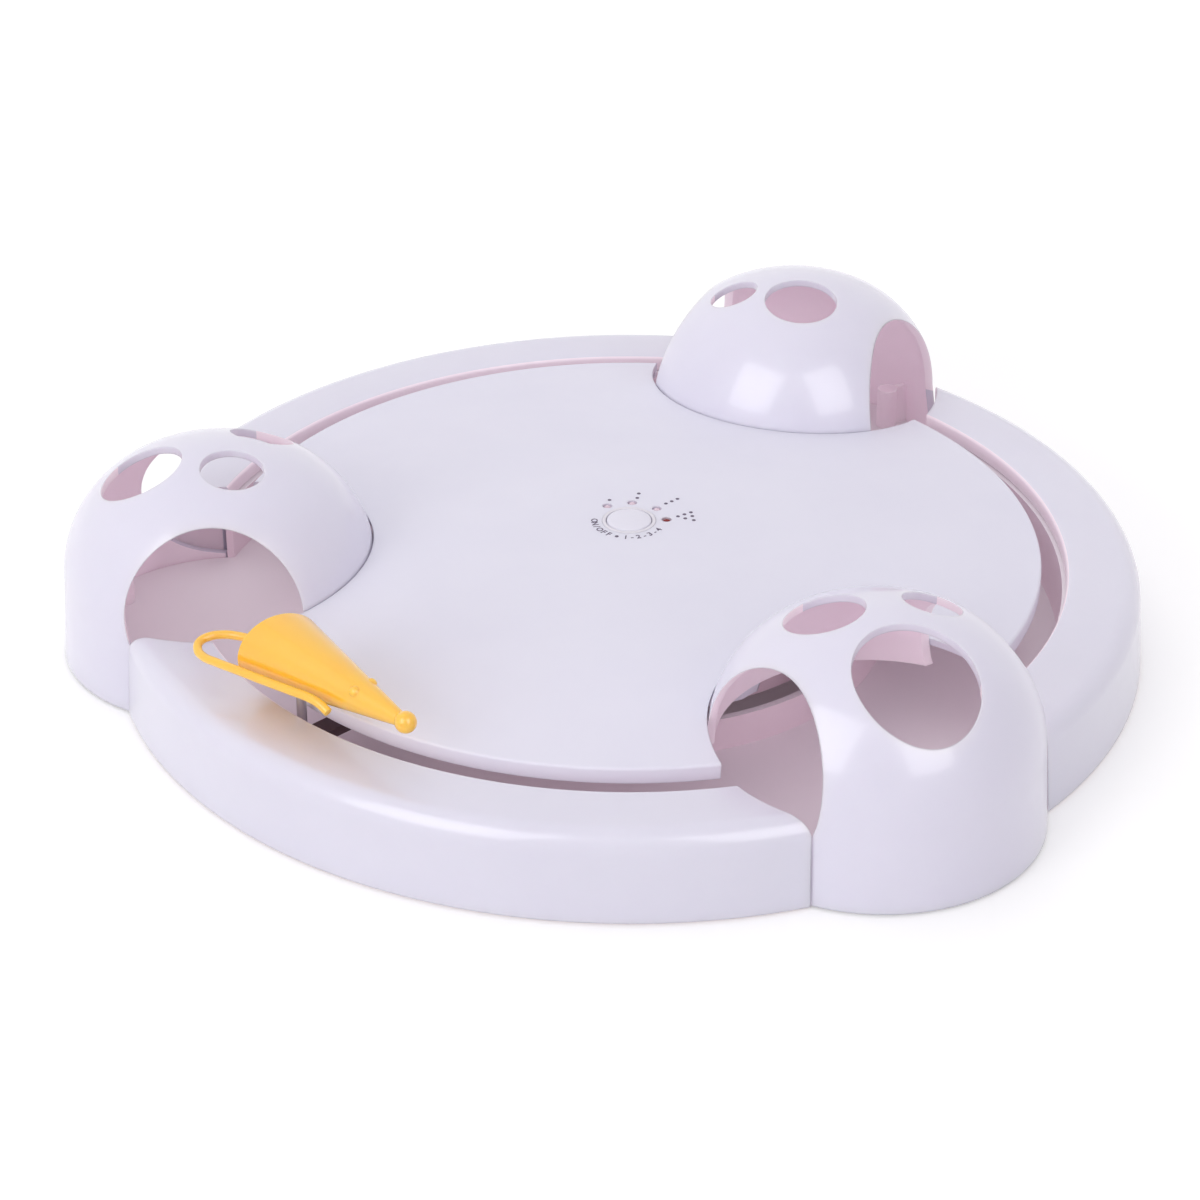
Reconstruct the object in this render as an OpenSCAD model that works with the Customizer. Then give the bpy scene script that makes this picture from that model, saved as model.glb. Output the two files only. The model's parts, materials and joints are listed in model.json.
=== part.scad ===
// Round floor toy for cats: a mouse on a post runs round a ring track and through three
// domes, carried by a motor-driven arm under a crowned deck.
// Millimetres, +Z up, origin on the turning axis at the floor.

/* [Ring] */
// Outer radius of the ring at the floor
ring_r = 165; // [160:0.5:175]
// Height of the ring's flat top above the floor
ring_h = 29.1; // [27:0.1:30]
// How far the outer wall leans in by its top
ring_draft = 1.7; // [0.5:0.1:3]
// Radius of the ring's outer top edge
ring_fillet = 6.7; // [3:0.1:8]
// Wall of the ring segments
ring_wall = 2.2; // [1.6:0.1:3]
// Height at which the ring's inner lip ends
lip_z = 24.2; // [24:0.1:25.5]

/* [Deck] */
// Radius of the deck's rim
deck_r = 131.6; // [128:0.1:133]
// Height of the deck's rim
deck_edge_z = 31.1; // [30:0.1:32]
// Height of the deck's side face
deck_edge_h = 5; // [3:0.1:6]
// Rise of the deck from its rim to its middle
deck_crown = 8.6; // [8:0.1:10]
// Wall of the deck
deck_wall = 2.4; // [1.8:0.1:3]
// Width of the track gap between deck and ring
track_gap = 8.2; // [7:0.1:9]
// Gap between a dome and the deck's notch
notch_gap = 0.8; // [0.6:0.1:3]

/* [Domes] */
// Distance of the dome centres from the turning axis
dome_ring_r = 130.8; // [129:0.1:133]
// Direction of the first dome
dome_az = 63.1; // [0:0.1:119]
// Radius of a dome at the floor
dome_r = 51.5; // [50.5:0.1:53]
// Radius of a dome where its skirt ends
shoulder_r = 49.7; // [48.5:0.1:50.2]
// Height at which a dome's skirt ends
shoulder_z = 27; // [25:0.1:30]
// Height of a dome's top
dome_top = 69.3; // [68:0.1:73]
// Radius of a dome's crown
crown_r = 62.15; // [60:0.05:66]
// Wall of a dome
dome_wall = 2.4; // [1.8:0.1:3]
// Radius of the arch at the top of a tunnel
arch_r = 27.5; // [27:0.1:29]
// Height of the arch's centre
arch_z = 32; // [31.5:0.1:33]
// Half width of a tunnel below its arch
arch_half_w = 26.5; // [24:0.1:27]
// Height of a tunnel's sill
sill_z = 25; // [24.6:0.1:26]
// Seam between a dome and the ring's ends
seam = 0.6; // [0.4:0.1:1.2]

/* [Base] */
// Height of the rubber feet
foot_h = 0.8; // [0.5:0.1:2]
// Radius of the rubber feet
foot_r = 8; // [5:0.5:10]
// Thickness of the base floor
floor_t = 2.2; // [2:0.1:2.6]
// Radius of the base floor
floor_r = 160; // [156:0.5:161]
// Gap between the base floor and the shells round it
floor_gap = 0.5; // [0.3:0.1:1]
// Radius of the drum under the deck
drum_r = 83; // [82.5:0.1:85]
// Wall of the drum and of the track
drum_wall = 2.2; // [1.6:0.1:2.6]
// Height of the lower drum, which is the slot's lower edge
slot_z = 14; // [13.5:0.1:14.4]
// Height of the slot that the arm sweeps
slot_h = 5.5; // [5:0.1:6]
// Inner radius of the track's outer wall
track_wall_r = 138.6; // [138.6:0.1:139.2]
// Height of the track's outer wall
track_wall_z = 23.5; // [22:0.1:23.6]

/* [Centre post] */
// Outer radius of the centre post
post_tube_r = 8; // [7.8:0.1:8.4]
// Bore of the centre post
post_bore_r = 3.5; // [3:0.1:4]
// Radius of the post's shoulder
shoulder_ring_r = 11.5; // [11:0.1:12]
// Height of the post's shoulder
shoulder_ring_z = 15; // [14.8:0.1:15.1]
// Thickness of the thrust washer
washer_t = 0.6; // [0.4:0.1:0.7]
// Running clearance of turning pieces on their posts and pins
run_fit = 0.06; // [0.03:0.01:0.1]
// Clearance of fixed pieces in their seats
seat_fit = 0.1; // [0.05:0.01:0.2]

/* [Rotor] */
// Outer radius of the rotor
rotor_r = 76; // [75:0.1:76.5]
// Thickness of the rotor's plate
rotor_t = 1.8; // [1.6:0.1:2]
// Wall of the rotor's rim
rotor_wall = 1.6; // [1.2:0.1:2]
// Radius of the rotor's hub
hub_r = 12.5; // [12:0.1:13]
// Thickness of the carrier arm
arm_t = 3.2; // [2.6:0.1:3.4]
// Width of the carrier arm
arm_w = 6.6; // [6:0.1:9]
// Inner end of the arm's upper leg
arm_inner_r = 54; // [50:0.5:58]

/* [Gears] */
// Module of all gears
gear_m = 1; // [0.98:0.01:1]
// Teeth of the rotor's gear
rotor_teeth = 60; // [59:1:60]
// Small teeth of the second gear
second_small = 12; // [11:1:12]
// Large teeth of the second gear
second_large = 40; // [39:1:40]
// Small teeth of the first gear
first_small = 10; // [10:1:11]
// Large teeth of the first gear
first_large = 36; // [34:1:36]
// Teeth of the motor pinion
pinion_teeth = 10; // [10:1:11]
// Radius of the gear pins
gear_pin_r = 1.5; // [1.4:0.1:1.7]
// Thickness of a gear's teeth
gear_t = 1.9; // [1.6:0.1:1.9]
// Gap between the layers of gears
layer_gap = 0.5; // [0.4:0.05:0.5]

/* [Motor] */
// Radius of the motor's can
motor_r = 12.2; // [11.5:0.1:12.4]
// Height of the motor's can
motor_h = 12; // [11:0.1:12]
// Radius of the motor's shaft
shaft_r = 1; // [0.9:0.05:1.2]

/* [Batteries] */
// Radius of a cell
cell_r = 5.25; // [5:0.05:5.25]
// Length of a cell with its cap
cell_l = 44.5; // [43:0.1:44.5]
// Number of cells
cells = 3; // [2:1:3]
// Distance of the battery box from the turning axis
box_x = -40; // [-42:0.5:-39]
// Wall of the battery box
box_wall = 1.6; // [1.2:0.1:1.8]
// Thickness of the battery door
door_t = 1.4; // [1.2:0.1:1.5]

/* [Mouse] */
// Direction of the mouse from the turning axis
mouse_az = -136.3; // [-150:0.1:-120]
// Height of the mouse's axis at its post
mouse_z = 44.8; // [44.7:0.1:45.2]
// How far the mouse's nose is tipped up
mouse_pitch = 0.6; // [0:0.1:2]
// Radius of the mouse's rear edge
rear_r = 13.1; // [12:0.1:13.2]
// Rounding of the mouse's rear edge
rear_round = 0.9; // [0.5:0.1:2]
// Distance of the rear disc behind the post
rear_back = 9; // [7:0.1:11]
// Distance of the cone's tip ahead of the post
tip_ahead = 45.4; // [40:0.1:46]
// Radius of the cone's tip
tip_r = 2.2; // [1.8:0.1:3]
// Radius of the nose ball
nose_r = 3.3; // [2.6:0.1:3.6]
// Turn of the rear disc about the vertical
rear_yaw = 18.8; // [0:0.1:20]
// Tilt of the rear disc
rear_tilt = -9.5; // [-12:0.1:0]
// Radius of an ear
ear_r = 1.8; // [1.4:0.1:2.2]
// Distance of the ears ahead of the post
ear_ahead = 29.5; // [26:0.1:32]
// Angle of the ears from the top of the head
ear_angle = 42; // [30:1:60]
// Radius of the tail
tail_r = 1.35; // [1.1:0.05:1.4]
// Radius of the mouse's post
mouse_post_r = 1.5; // [1.3:0.1:1.8]

/* [Button and board] */
// Radius of the button
button_r = 7.2; // [6.5:0.1:7.4]
// How far the button stands above the deck
button_proud = 0.9; // [0.5:0.1:1.5]
// Gap round the button
button_gap = 0.25; // [0.15:0.05:0.4]
// Width of the soft ring round the button
bezel_w = 1.2; // [0.8:0.1:1.4]
// Radius of the circle of timer lights
led_ring_r = 12; // [11.8:0.1:12.5]
// Radius of a timer light
led_r = 1.5; // [1.2:0.1:1.6]
// Radius of the circuit board
board_r = 22; // [21.5:0.1:22]
// Thickness of the circuit board
board_t = 1.6; // [1.2:0.1:1.6]
// Height of the circuit board's underside
board_z = 33; // [33:0.1:33.2]

/* [Fasteners] */
// Radius of the small screws
screw_r = 1.3; // [1.1:0.1:1.4]
// Radius of the small screw heads
head_r = 2.5; // [2.2:0.1:2.6]
// Height of the small screw heads
head_h = 1.4; // [1:0.1:1.4]
// Radius of the screw through the centre post
long_screw_r = 2; // [1.8:0.1:2.2]

/* [Hidden] */
$fn = 64;

// Colours
shell_colour = [0.89, 0.88, 0.93];
mouse_colour = [1, 0.78, 0.28];
dark_colour = [0.2, 0.15, 0.17];
nylon_colour = [0.92, 0.9, 0.84];
steel_colour = [0.72, 0.73, 0.75];
brass_colour = [0.8, 0.66, 0.35];
board_colour = [0.1, 0.38, 0.2];
bezel_colour = [0.88, 0.84, 0.8];
cell_colour = [0.25, 0.28, 0.3];
clear_colour = [0.95, 0.93, 0.93];
lit_colour = [0.6, 0.05, 0.08];

// Small overlap for clean cuts, and the reach of a cut that goes right through
bite = 0.01;
far = 400;
under = 1;
degrees = 180 / PI;

// Play along an axle, and the gap between fixed pieces that only pass each other
axial_play = 0.1;
pass_gap = 0.3;

// Heights of the base
base_z = foot_h;
floor_z = base_z + floor_t;
slot_top = slot_z + slot_h;

// Ring and track
ring_inner_r = deck_r + track_gap;
track_r = deck_r + track_gap / 2;
track_wall_outer = track_wall_r + drum_wall;
shell_gap = 0.7;
shell_inner_r = track_wall_outer + shell_gap;
dome_seat_r = dome_r + seam;
skirt_lean = (dome_r - shoulder_r) / (shoulder_z - base_z);
ring_screw_in = 2.5;
ring_screw_r = (ring_inner_r + ring_r) / 2 - ring_screw_in;
ring_screw_turn = 24;

// Ring outline: the foot clears the floor, and the rounded corner stays within the ring's top
ring_corner = min(ring_fillet, ring_r - ring_draft - ring_inner_r - ring_wall);
ring_knee_r = ring_r - ring_draft;
floor_share = (floor_z - base_z) / (ring_h - ring_corner - base_z);
floor_reach_r = floor_r + floor_gap + ring_wall;
ring_foot_r = max(ring_r, (floor_reach_r - floor_share * ring_knee_r) / (1 - floor_share));

// Dome outline: the knuckle that joins skirt and crown
crown_z = dome_top - crown_r;
knuckle_drop = shoulder_z - crown_z;
knuckle_r = (crown_r * crown_r - shoulder_r * shoulder_r - knuckle_drop * knuckle_drop)
    / (2 * (crown_r - shoulder_r));
knuckle_x = shoulder_r - knuckle_r;
function knuckle_end(w) = knuckle_x * (crown_r - w) / (crown_r - knuckle_r);
dome_screw_u = 34;
dome_screw_t = 22;
dome_boss_r = 3.5;
dome_boss_top = 17.5;
rib_t = 2;
ring_pilot_h = 14;
shell_screw_l = 12;

// Holes in the top of each dome: distance out, distance along, radius
back_holes = [[-9.7, -5.8, 12.4], [-10.5, 19, 8]];
left_holes = [[22.5, 3, 13], [-6.3, 10, 10], [-14.5, -19, 10]];
front_holes = [[23.6, -5.5, 18.5], [-14, -10, 12], [-2, 20, 9]];

// Deck crown: a ball of this radius, centred below the floor
deck_ball_r = (deck_r * deck_r + deck_crown * deck_crown) / (2 * deck_crown);
deck_top_z = deck_edge_z + deck_crown;
deck_ball_z = deck_top_z - deck_ball_r;
deck_under_z = deck_top_z - deck_wall;
notch_r = shoulder_r + notch_gap;
function deck_under_at(r) = deck_ball_z + sqrt(pow(deck_ball_r - deck_wall, 2) - r * r);

// Rotor stack on the centre post
washer_top = shoulder_ring_z + washer_t;
hub_bottom = washer_top + axial_play;
layer_one = hub_bottom + 2 * axial_play;
layer_two = layer_one + gear_t + layer_gap;
layer_three = layer_two + gear_t + layer_gap;
rotor_under = layer_three + gear_t + layer_gap;
rotor_top = rotor_under + rotor_t;
ring_clip_z = rotor_top + axial_play;
clip_t = 0.9;
clip_depth = 0.6;
hub_plate_z = 29;
hub_plate_t = 1.8;
hub_plate_r = 30;
hub_screw_ring = 26;
hub_boss_r = 3;
post_foot_t = 2;
post_foot_z = floor_z + post_foot_t;
post_top_z = hub_plate_z - seat_fit;
socket_r = post_tube_r + seat_fit;
socket_wall = 2.8;
shoulder_ring_t = 2;
socket_top = shoulder_ring_z - 2 * shoulder_ring_t;
post_head_t = floor_t - 2 * axial_play;
clip_w = 2.2;
clip_mouth = 5;

// Arm: a strip that steps down from the rotor's top to the slot
arm_low = slot_z + (slot_h - arm_t) / 2;
arm_drop_r = rotor_r + pass_gap;
arm_end_gap = 0.7;
arm_end_r = track_wall_r - arm_end_gap;
arm_screw_in = 5;
arm_screw_pitch = 9;
arm_screws_at = [arm_inner_r + arm_screw_in, arm_inner_r + arm_screw_in + arm_screw_pitch];

// Gear places and tooth phases, from the rotor outwards
gear_boss_r = 4;
gear_boss_drop = 1.2;
gear_boss_top = layer_one - gear_boss_drop;
gear_sleeve_r = 2.6;
second_at = [gear_m * (rotor_teeth + second_small) / 2, 0];
first_turn = 70;
first_at = second_at + gear_m * (second_large + first_small) / 2 * [cos(first_turn), sin(first_turn)];
motor_turn = 110;
motor_at = first_at + gear_m * (first_large + pinion_teeth) / 2 * [cos(motor_turn), sin(motor_turn)];
function mesh_phase(turn, a, teeth_a, teeth_b) =
    turn + 180 + 360 / teeth_b * (0.5 - (a - turn) * teeth_a / 360);
second_phase = mesh_phase(0, 0, rotor_teeth, second_small);
first_phase = mesh_phase(first_turn, 0, second_large, first_small);
pinion_phase = mesh_phase(motor_turn, 0, first_large, pinion_teeth);
tooth_share = 0.42;
tooth_slope = 20;
tooth_tip = 0.9 * gear_m;
tooth_root = 1.2 * gear_m;

// Motor
motor_boss_r = 3;
motor_boss_h = 1.2;
motor_top = floor_z + motor_h;
motor_cup_wall = 1.5;
motor_cup_h = 8;
motor_end_t = 1;
shaft_low = floor_z + motor_end_t + axial_play;

// Battery box
cell_gap = 0.5;
cell_pitch = 2 * cell_r + cell_gap;
cell_z = floor_z + cell_r + axial_play;
cap_r = 1.9;
cap_l = 1.2;
leaf_room = 3.6;
contact_t = 0.4;
box_half_x = cells * cell_pitch / 2 + 2 * axial_play;
box_half_y = (cell_l + leaf_room) / 2 + contact_t;
box_roof_z = cell_z + cell_r + pass_gap;
box_roof_t = 1.2;
contact_w = 7;
door_rebate = 1.8;
door_half_x = box_half_x + door_rebate;
door_boss_r = 3.2;
door_screw_y = box_half_y + box_wall + door_boss_r + 2 * axial_play;
door_margin = 1.2;
door_half_y = door_screw_y + head_r + door_margin;
door_head_h = 0.7 * head_h;
door_boss_h = 6;
boss_end_t = 1;

// Button stack
bezel_r = button_r + button_gap;
button_flange_w = 0.6;
button_flange_r = bezel_r + bezel_w + button_flange_w;
button_flange_top = deck_under_z - pass_gap / 2;
button_flange_t = 0.9;
button_low = button_flange_top - button_flange_t;
button_top = deck_top_z + button_proud;
button_ball_r = 60;
switch_half = 3;
switch_h = 0.9;
plunger_r = 1.6;
plunger_lift = 0.7;
board_top = board_z + board_t;
led_turns = [125, 84.6, 41.5];
lit_turn = 3;
led_flange_w = 0.4;
led_flange_h = 1;
board_screw_turns = [200, 300];
board_screw_ring = 18;
board_boss_r = 2.6;
board_screw_bite = 2.2;
hub_screw_bite = 4;
bezel_proud = 0.2;

// Mouse: how deep the ears sit, and how far the nose ball stands out
ear_sink = 0.9;
nose_reach = 0.8;

// Tail: points out from the track, ahead of the post and above the floor
tail_points = [
    [0, -10.2, 45], [1.2, -17, 44.4], [3, -24, 44], [6, -28.3, 44], [9.5, -30.6, 43.8],
    [12.8, -31, 43.2], [15.2, -29, 42.5], [16.3, -25.3, 42.2], [16.1, -19, 42.7],
    [15.1, -11.5, 43.2], [13.3, 0, 43.6], [11.4, 10, 43.8], [10.1, 17, 43.9], [9.6, 21, 43.4],
    [9.3, 24.5, 42]
];
tail_sides = 8;
tail_steps = 3;

// Feet: two under each ring segment and one in the middle
foot_ring_r = 148;
foot_turn = 12;
centre_foot_r = 10;

// Cross recess of a screw: share of the head's radius, and width
slot_share = 1.2;
slot_w = 0.5;

// Places a child at a dome: x runs outward, y runs round the ring
module at_dome(i) {
    rotate([0, 0, dome_az + 120 * i]) translate([dome_ring_r, 0, 0]) children();
}

// Places a child at the middle of the ring segment after a dome
module at_segment(i, r, turn) {
    rotate([0, 0, dome_az + 120 * i + 60 + turn]) translate([r, 0, 0]) children();
}

// Places a child at the screws that hold the domes and the ring
module at_shell_screws() {
    for (i = [0:2]) {
        for (side = [-1, 1]) {
            at_dome(i) translate([dome_screw_u, side * dome_screw_t, 0]) children();
            at_segment(i, ring_screw_r, side * ring_screw_turn) children();
        }
    }
}

// Places a child at the two door screws
module at_door_screws() {
    for (side = [-1, 1]) translate([box_x, side * door_screw_y, 0]) children();
}

// Places a child at the three hub screws
module at_hub_screws() {
    for (i = [0:2]) rotate([0, 0, 30 + 120 * i]) translate([hub_screw_ring, 0, 0]) children();
}

// Places a child at the board screws
module at_board_screws() {
    for (turn = board_screw_turns) rotate([0, 0, turn]) translate([board_screw_ring, 0, 0]) children();
}

// Screw with its head below its shank, standing on z = 0 at the head's seat
module screw(r, length, cap_r, cap_h) {
    difference() {
        union() {
            translate([0, 0, -cap_h]) cylinder(r = r, h = length + cap_h);
            translate([0, 0, -cap_h]) cylinder(r = cap_r, h = cap_h);
        }
        for (turn = [0, 90]) {
            rotate([0, 0, turn]) translate([0, 0, -cap_h])
                cube([cap_r * slot_share, slot_w, cap_h], center = true);
        }
    }
}

// Tube with its lower end at z
module tube(outer, inner, z, h) {
    translate([0, 0, z]) difference() {
        cylinder(r = outer, h = h);
        translate([0, 0, -under]) cylinder(r = inner, h = h + 2 * under);
    }
}

// Outline of a gear with straight-sided teeth
function gear_outline(teeth, phase) = [
    for (k = [0:teeth - 1])
        let (
            r = gear_m * teeth / 2,
            half = 180 / teeth * tooth_share,
            tip = r + tooth_tip,
            root = r - tooth_root,
            lean_tip = half - tooth_tip * tan(tooth_slope) / r * degrees,
            lean_root = half + tooth_root * tan(tooth_slope) / r * degrees,
            turn = phase + 360 / teeth * k
        )
        each [
            root * [cos(turn - lean_root), sin(turn - lean_root)],
            tip * [cos(turn - lean_tip), sin(turn - lean_tip)],
            tip * [cos(turn + lean_tip), sin(turn + lean_tip)],
            root * [cos(turn + lean_root), sin(turn + lean_root)]
        ]
];

module gear_disc(teeth, phase, z) {
    translate([0, 0, z]) linear_extrude(gear_t) polygon(gear_outline(teeth, phase));
}

// Half section of a dome, drawn in by w: crown, knuckle and skirt side by side
module dome_half(w) {
    end = knuckle_end(w);
    intersection() {
        translate([0, crown_z]) circle(crown_r - w, $fn = 128);
        translate([0, base_z]) square([end, dome_top]);
    }
    intersection() {
        translate([knuckle_x, shoulder_z]) circle(knuckle_r - w, $fn = 128);
        translate([end, shoulder_z]) square([dome_r, dome_top]);
    }
    polygon([[end, base_z], [dome_r - w, base_z], [shoulder_r - w, shoulder_z], [end, shoulder_z]]);
}

module dome_shell() {
    difference() {
        rotate_extrude($fn = 128) dome_half(0);
        rotate_extrude($fn = 128) dome_half(dome_wall);
        translate([0, 0, base_z - under]) cylinder(r = dome_r - dome_wall, h = under + bite);
    }
}

// Tunnel through a dome along the track
module tunnel() {
    translate([0, 0, arch_z]) rotate([90, 0, 0]) cylinder(r = arch_r, h = far, center = true, $fn = 128);
    translate([-arch_half_w, -far / 2, sill_z]) cube([2 * arch_half_w, far, arch_z - sill_z]);
}

// Dome wall, open for the tunnel and, inside the track's outer wall, below the sill
module open_dome() {
    difference() {
        dome_shell();
        tunnel();
        translate([-dome_ring_r, 0, -under]) cylinder(r = shell_inner_r, h = sill_z + under, $fn = 256);
    }
}

// Boss that a dome is screwed down by, with the rib that joins it to the wall
module dome_boss(side) {
    rib_l = shoulder_r - dome_wall / 2 - norm([dome_screw_u, dome_screw_t]);
    boss_h = dome_boss_top - floor_z;
    translate([dome_screw_u, side * dome_screw_t, floor_z]) difference() {
        union() {
            cylinder(r = dome_boss_r, h = boss_h);
            rotate([0, 0, atan2(side * dome_screw_t, dome_screw_u)]) translate([0, -rib_t / 2, 0])
                cube([rib_l, rib_t, boss_h]);
        }
        translate([0, 0, -boss_end_t]) cylinder(r = screw_r + seat_fit, h = boss_h);
    }
}

// Dome with its holes and bosses
module dome(i, holes) {
    color(shell_colour) at_dome(i) {
        difference() {
            open_dome();
            for (hole = holes) {
                translate([hole[0], hole[1], arch_z]) cylinder(r = hole[2], h = dome_top);
            }
        }
        for (side = [-1, 1]) dome_boss(side);
    }
}

module dome_back() dome(0, back_holes);
module dome_left() dome(1, left_holes);
module dome_front() dome(2, front_holes);

// Half section of the ring's outside from radius inside, drawn in by w, down to z = low
module ring_half(inside, w, low) {
    corner_r = ring_knee_r - ring_corner;
    corner_z = ring_h - ring_corner;
    polygon([
        [inside, low], [ring_foot_r - w, low], [ring_knee_r - w, corner_z], [corner_r, corner_z],
        [corner_r, ring_h - w], [inside, ring_h - w]
    ]);
    intersection() {
        translate([corner_r, corner_z]) circle(ring_corner - w);
        translate([corner_r, corner_z]) square(ring_corner);
    }
}

// Cone that leans in with a dome's skirt, a seam and a wall away from it
module seat_cone(wall) {
    low_r = dome_seat_r + wall + skirt_lean * (base_z + under);
    top_r = dome_seat_r + wall - skirt_lean * (ring_h + under - base_z);
    translate([0, 0, -under]) cylinder(r1 = low_r, r2 = top_r, h = ring_h + 2 * under);
}

// Ring segment between a dome and the next, with end walls and screw bosses
module rim(i) {
    color(shell_colour) difference() {
        union() {
            difference() {
                rotate([0, 0, dome_az + 120 * i]) rotate_extrude(angle = 120, $fn = 256)
                    ring_half(ring_inner_r, 0, base_z);
                difference() {
                    rotate_extrude($fn = 256) ring_half(ring_inner_r + ring_wall, ring_wall, -under);
                    for (k = [i, i + 1]) {
                        at_dome(k) seat_cone(ring_wall);
                    }
                }
            }
            for (side = [-1, 1]) {
                at_segment(i, ring_screw_r, side * ring_screw_turn) translate([0, 0, floor_z])
                    cylinder(r = dome_boss_r, h = ring_h - ring_wall - floor_z + bite);
            }
        }
        for (k = [i, i + 1]) at_dome(k) seat_cone(0);
        translate([0, 0, -under])
            cylinder(r = ring_inner_r + ring_wall + bite, h = lip_z + under, $fn = 256);
        for (side = [-1, 1]) {
            at_segment(i, ring_screw_r, side * ring_screw_turn)
                cylinder(r = screw_r + seat_fit, h = floor_z + ring_pilot_h);
        }
    }
}

module rim_back() rim(0);
module rim_front() rim(1);
module rim_right() rim(2);

// Half section of the deck: crowned top, side face and the upper drum wall
module deck_half() {
    difference() {
        intersection() {
            translate([0, deck_ball_z]) circle(deck_ball_r, $fn = 720);
            translate([0, deck_edge_z - deck_edge_h]) square([deck_r, deck_edge_h + deck_crown]);
        }
        intersection() {
            translate([0, deck_ball_z]) circle(deck_ball_r - deck_wall, $fn = 720);
            square([deck_r - deck_wall, deck_top_z]);
        }
    }
    translate([drum_r - drum_wall, slot_top])
        square([drum_wall, deck_under_at(drum_r) - slot_top + deck_wall / 2]);
}

module deck_cover() {
    hub_seat = hub_plate_z + hub_plate_t;
    hub_boss_end = deck_under_at(hub_screw_ring) + deck_wall / 2;
    board_boss_end = deck_under_at(board_screw_ring) + deck_wall / 2;
    color(shell_colour) difference() {
        union() {
            rotate_extrude($fn = 256) deck_half();
            at_hub_screws() translate([0, 0, hub_seat]) cylinder(r = hub_boss_r, h = hub_boss_end - hub_seat);
            at_board_screws() translate([0, 0, board_top])
                cylinder(r = board_boss_r, h = board_boss_end - board_top);
        }
        for (i = [0:2]) at_dome(i) cylinder(r = notch_r, h = far);
        cylinder(r = bezel_r + bezel_w, h = far);
        for (turn = concat(led_turns, [lit_turn])) {
            rotate([0, 0, turn]) translate([led_ring_r, 0, 0]) cylinder(r = led_r + seat_fit, h = far);
        }
        at_hub_screws() cylinder(r = screw_r + seat_fit, h = deck_under_at(hub_screw_ring));
        at_board_screws() cylinder(r = screw_r + seat_fit, h = deck_under_at(board_screw_ring));
    }
}

// Hub that ties the deck to the centre post
module deck_hub() {
    collar_z = ring_clip_z + clip_t + pass_gap;
    color(nylon_colour) difference() {
        union() {
            translate([0, 0, hub_plate_z]) cylinder(r = hub_plate_r, h = hub_plate_t);
            translate([0, 0, collar_z])
                cylinder(r = socket_r + socket_wall, h = hub_plate_z - collar_z + bite);
        }
        cylinder(r = socket_r, h = hub_plate_z);
        cylinder(r = long_screw_r + seat_fit, h = far);
        at_hub_screws() cylinder(r = screw_r + seat_fit, h = far);
    }
}

// Floor outline, with lobes under the domes
module floor_plan() {
    difference() {
        union() {
            circle(floor_r, $fn = 256);
            for (i = [0:2]) at_dome(i) circle(dome_r - dome_wall - floor_gap);
        }
        difference() {
            for (i = [0:2]) {
                at_dome(i) difference() {
                    circle(dome_seat_r + ring_wall + floor_gap);
                    circle(dome_r - dome_wall - floor_gap);
                }
            }
            circle(track_wall_outer, $fn = 256);
        }
    }
}

// Block over the battery box, from z = low to z = high
module box_block(half_x, half_y, low, high) {
    translate([box_x - half_x, -half_y, low]) cube([2 * half_x, 2 * half_y, high - low]);
}

// Battery box on the base floor, open below
module battery_box() {
    difference() {
        box_block(box_half_x + box_wall, box_half_y + box_wall, floor_z - bite, box_roof_z + box_roof_t);
        box_block(box_half_x, box_half_y, 0, box_roof_z);
    }
}

// Outer wall of the track, open inside the domes
module track_wall() {
    difference() {
        tube(track_wall_outer, track_wall_r, base_z, track_wall_z - base_z);
        for (i = [0:2]) at_dome(i) cylinder(r = dome_r - dome_wall - floor_gap, h = far);
    }
}

module base_tray() {
    color(shell_colour) difference() {
        union() {
            translate([0, 0, base_z]) linear_extrude(floor_t) floor_plan();
            tube(drum_r, drum_r - drum_wall, base_z, slot_z - base_z);
            track_wall();
            translate([0, 0, base_z]) cylinder(r = socket_r + socket_wall, h = socket_top - base_z);
            translate([motor_at[0], motor_at[1], base_z])
                cylinder(r = motor_r + seat_fit + motor_cup_wall, h = floor_t + motor_cup_h);
            for (at = [first_at, second_at]) {
                translate([at[0], at[1], base_z]) cylinder(r = gear_boss_r, h = gear_boss_top - base_z);
            }
            battery_box();
            at_door_screws() translate([0, 0, base_z]) cylinder(r = door_boss_r, h = floor_t + door_boss_h);
        }
        translate([0, 0, post_foot_z]) cylinder(r = socket_r, h = far);
        cylinder(r = long_screw_r + seat_fit, h = far);
        cylinder(r = 2 * long_screw_r + seat_fit, h = floor_z);
        translate([motor_at[0], motor_at[1], floor_z]) cylinder(r = motor_r + seat_fit, h = far);
        for (at = [first_at, second_at]) {
            translate([at[0], at[1], floor_z]) cylinder(r = gear_pin_r + seat_fit, h = far);
        }
        box_block(box_half_x, box_half_y, 0, cell_z);
        box_block(door_half_x, door_half_y, 0, base_z + door_t + seat_fit);
        at_door_screws() cylinder(r = screw_r + seat_fit, h = floor_z + door_boss_h - boss_end_t);
        at_shell_screws() {
            cylinder(r = screw_r + seat_fit, h = far);
            cylinder(r = head_r + seat_fit, h = base_z + head_h);
        }
    }
}

// Fixed tube that the rotor runs on
module centre_post() {
    color(nylon_colour) difference() {
        union() {
            translate([0, 0, post_foot_z]) cylinder(r = post_tube_r, h = post_top_z - post_foot_z);
            translate([0, 0, shoulder_ring_z - shoulder_ring_t])
                cylinder(r = shoulder_ring_r, h = shoulder_ring_t);
        }
        cylinder(r = post_bore_r, h = far);
        tube(far, post_tube_r - clip_depth, ring_clip_z, clip_t);
    }
}

module post_screw() {
    color(steel_colour) translate([0, 0, floor_z])
        screw(long_screw_r, hub_plate_z + hub_plate_t - floor_z, 2 * long_screw_r, post_head_t);
}

module thrust_washer() {
    color(brass_colour) tube(shoulder_ring_r, post_tube_r + seat_fit, shoulder_ring_z, washer_t);
}

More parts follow.
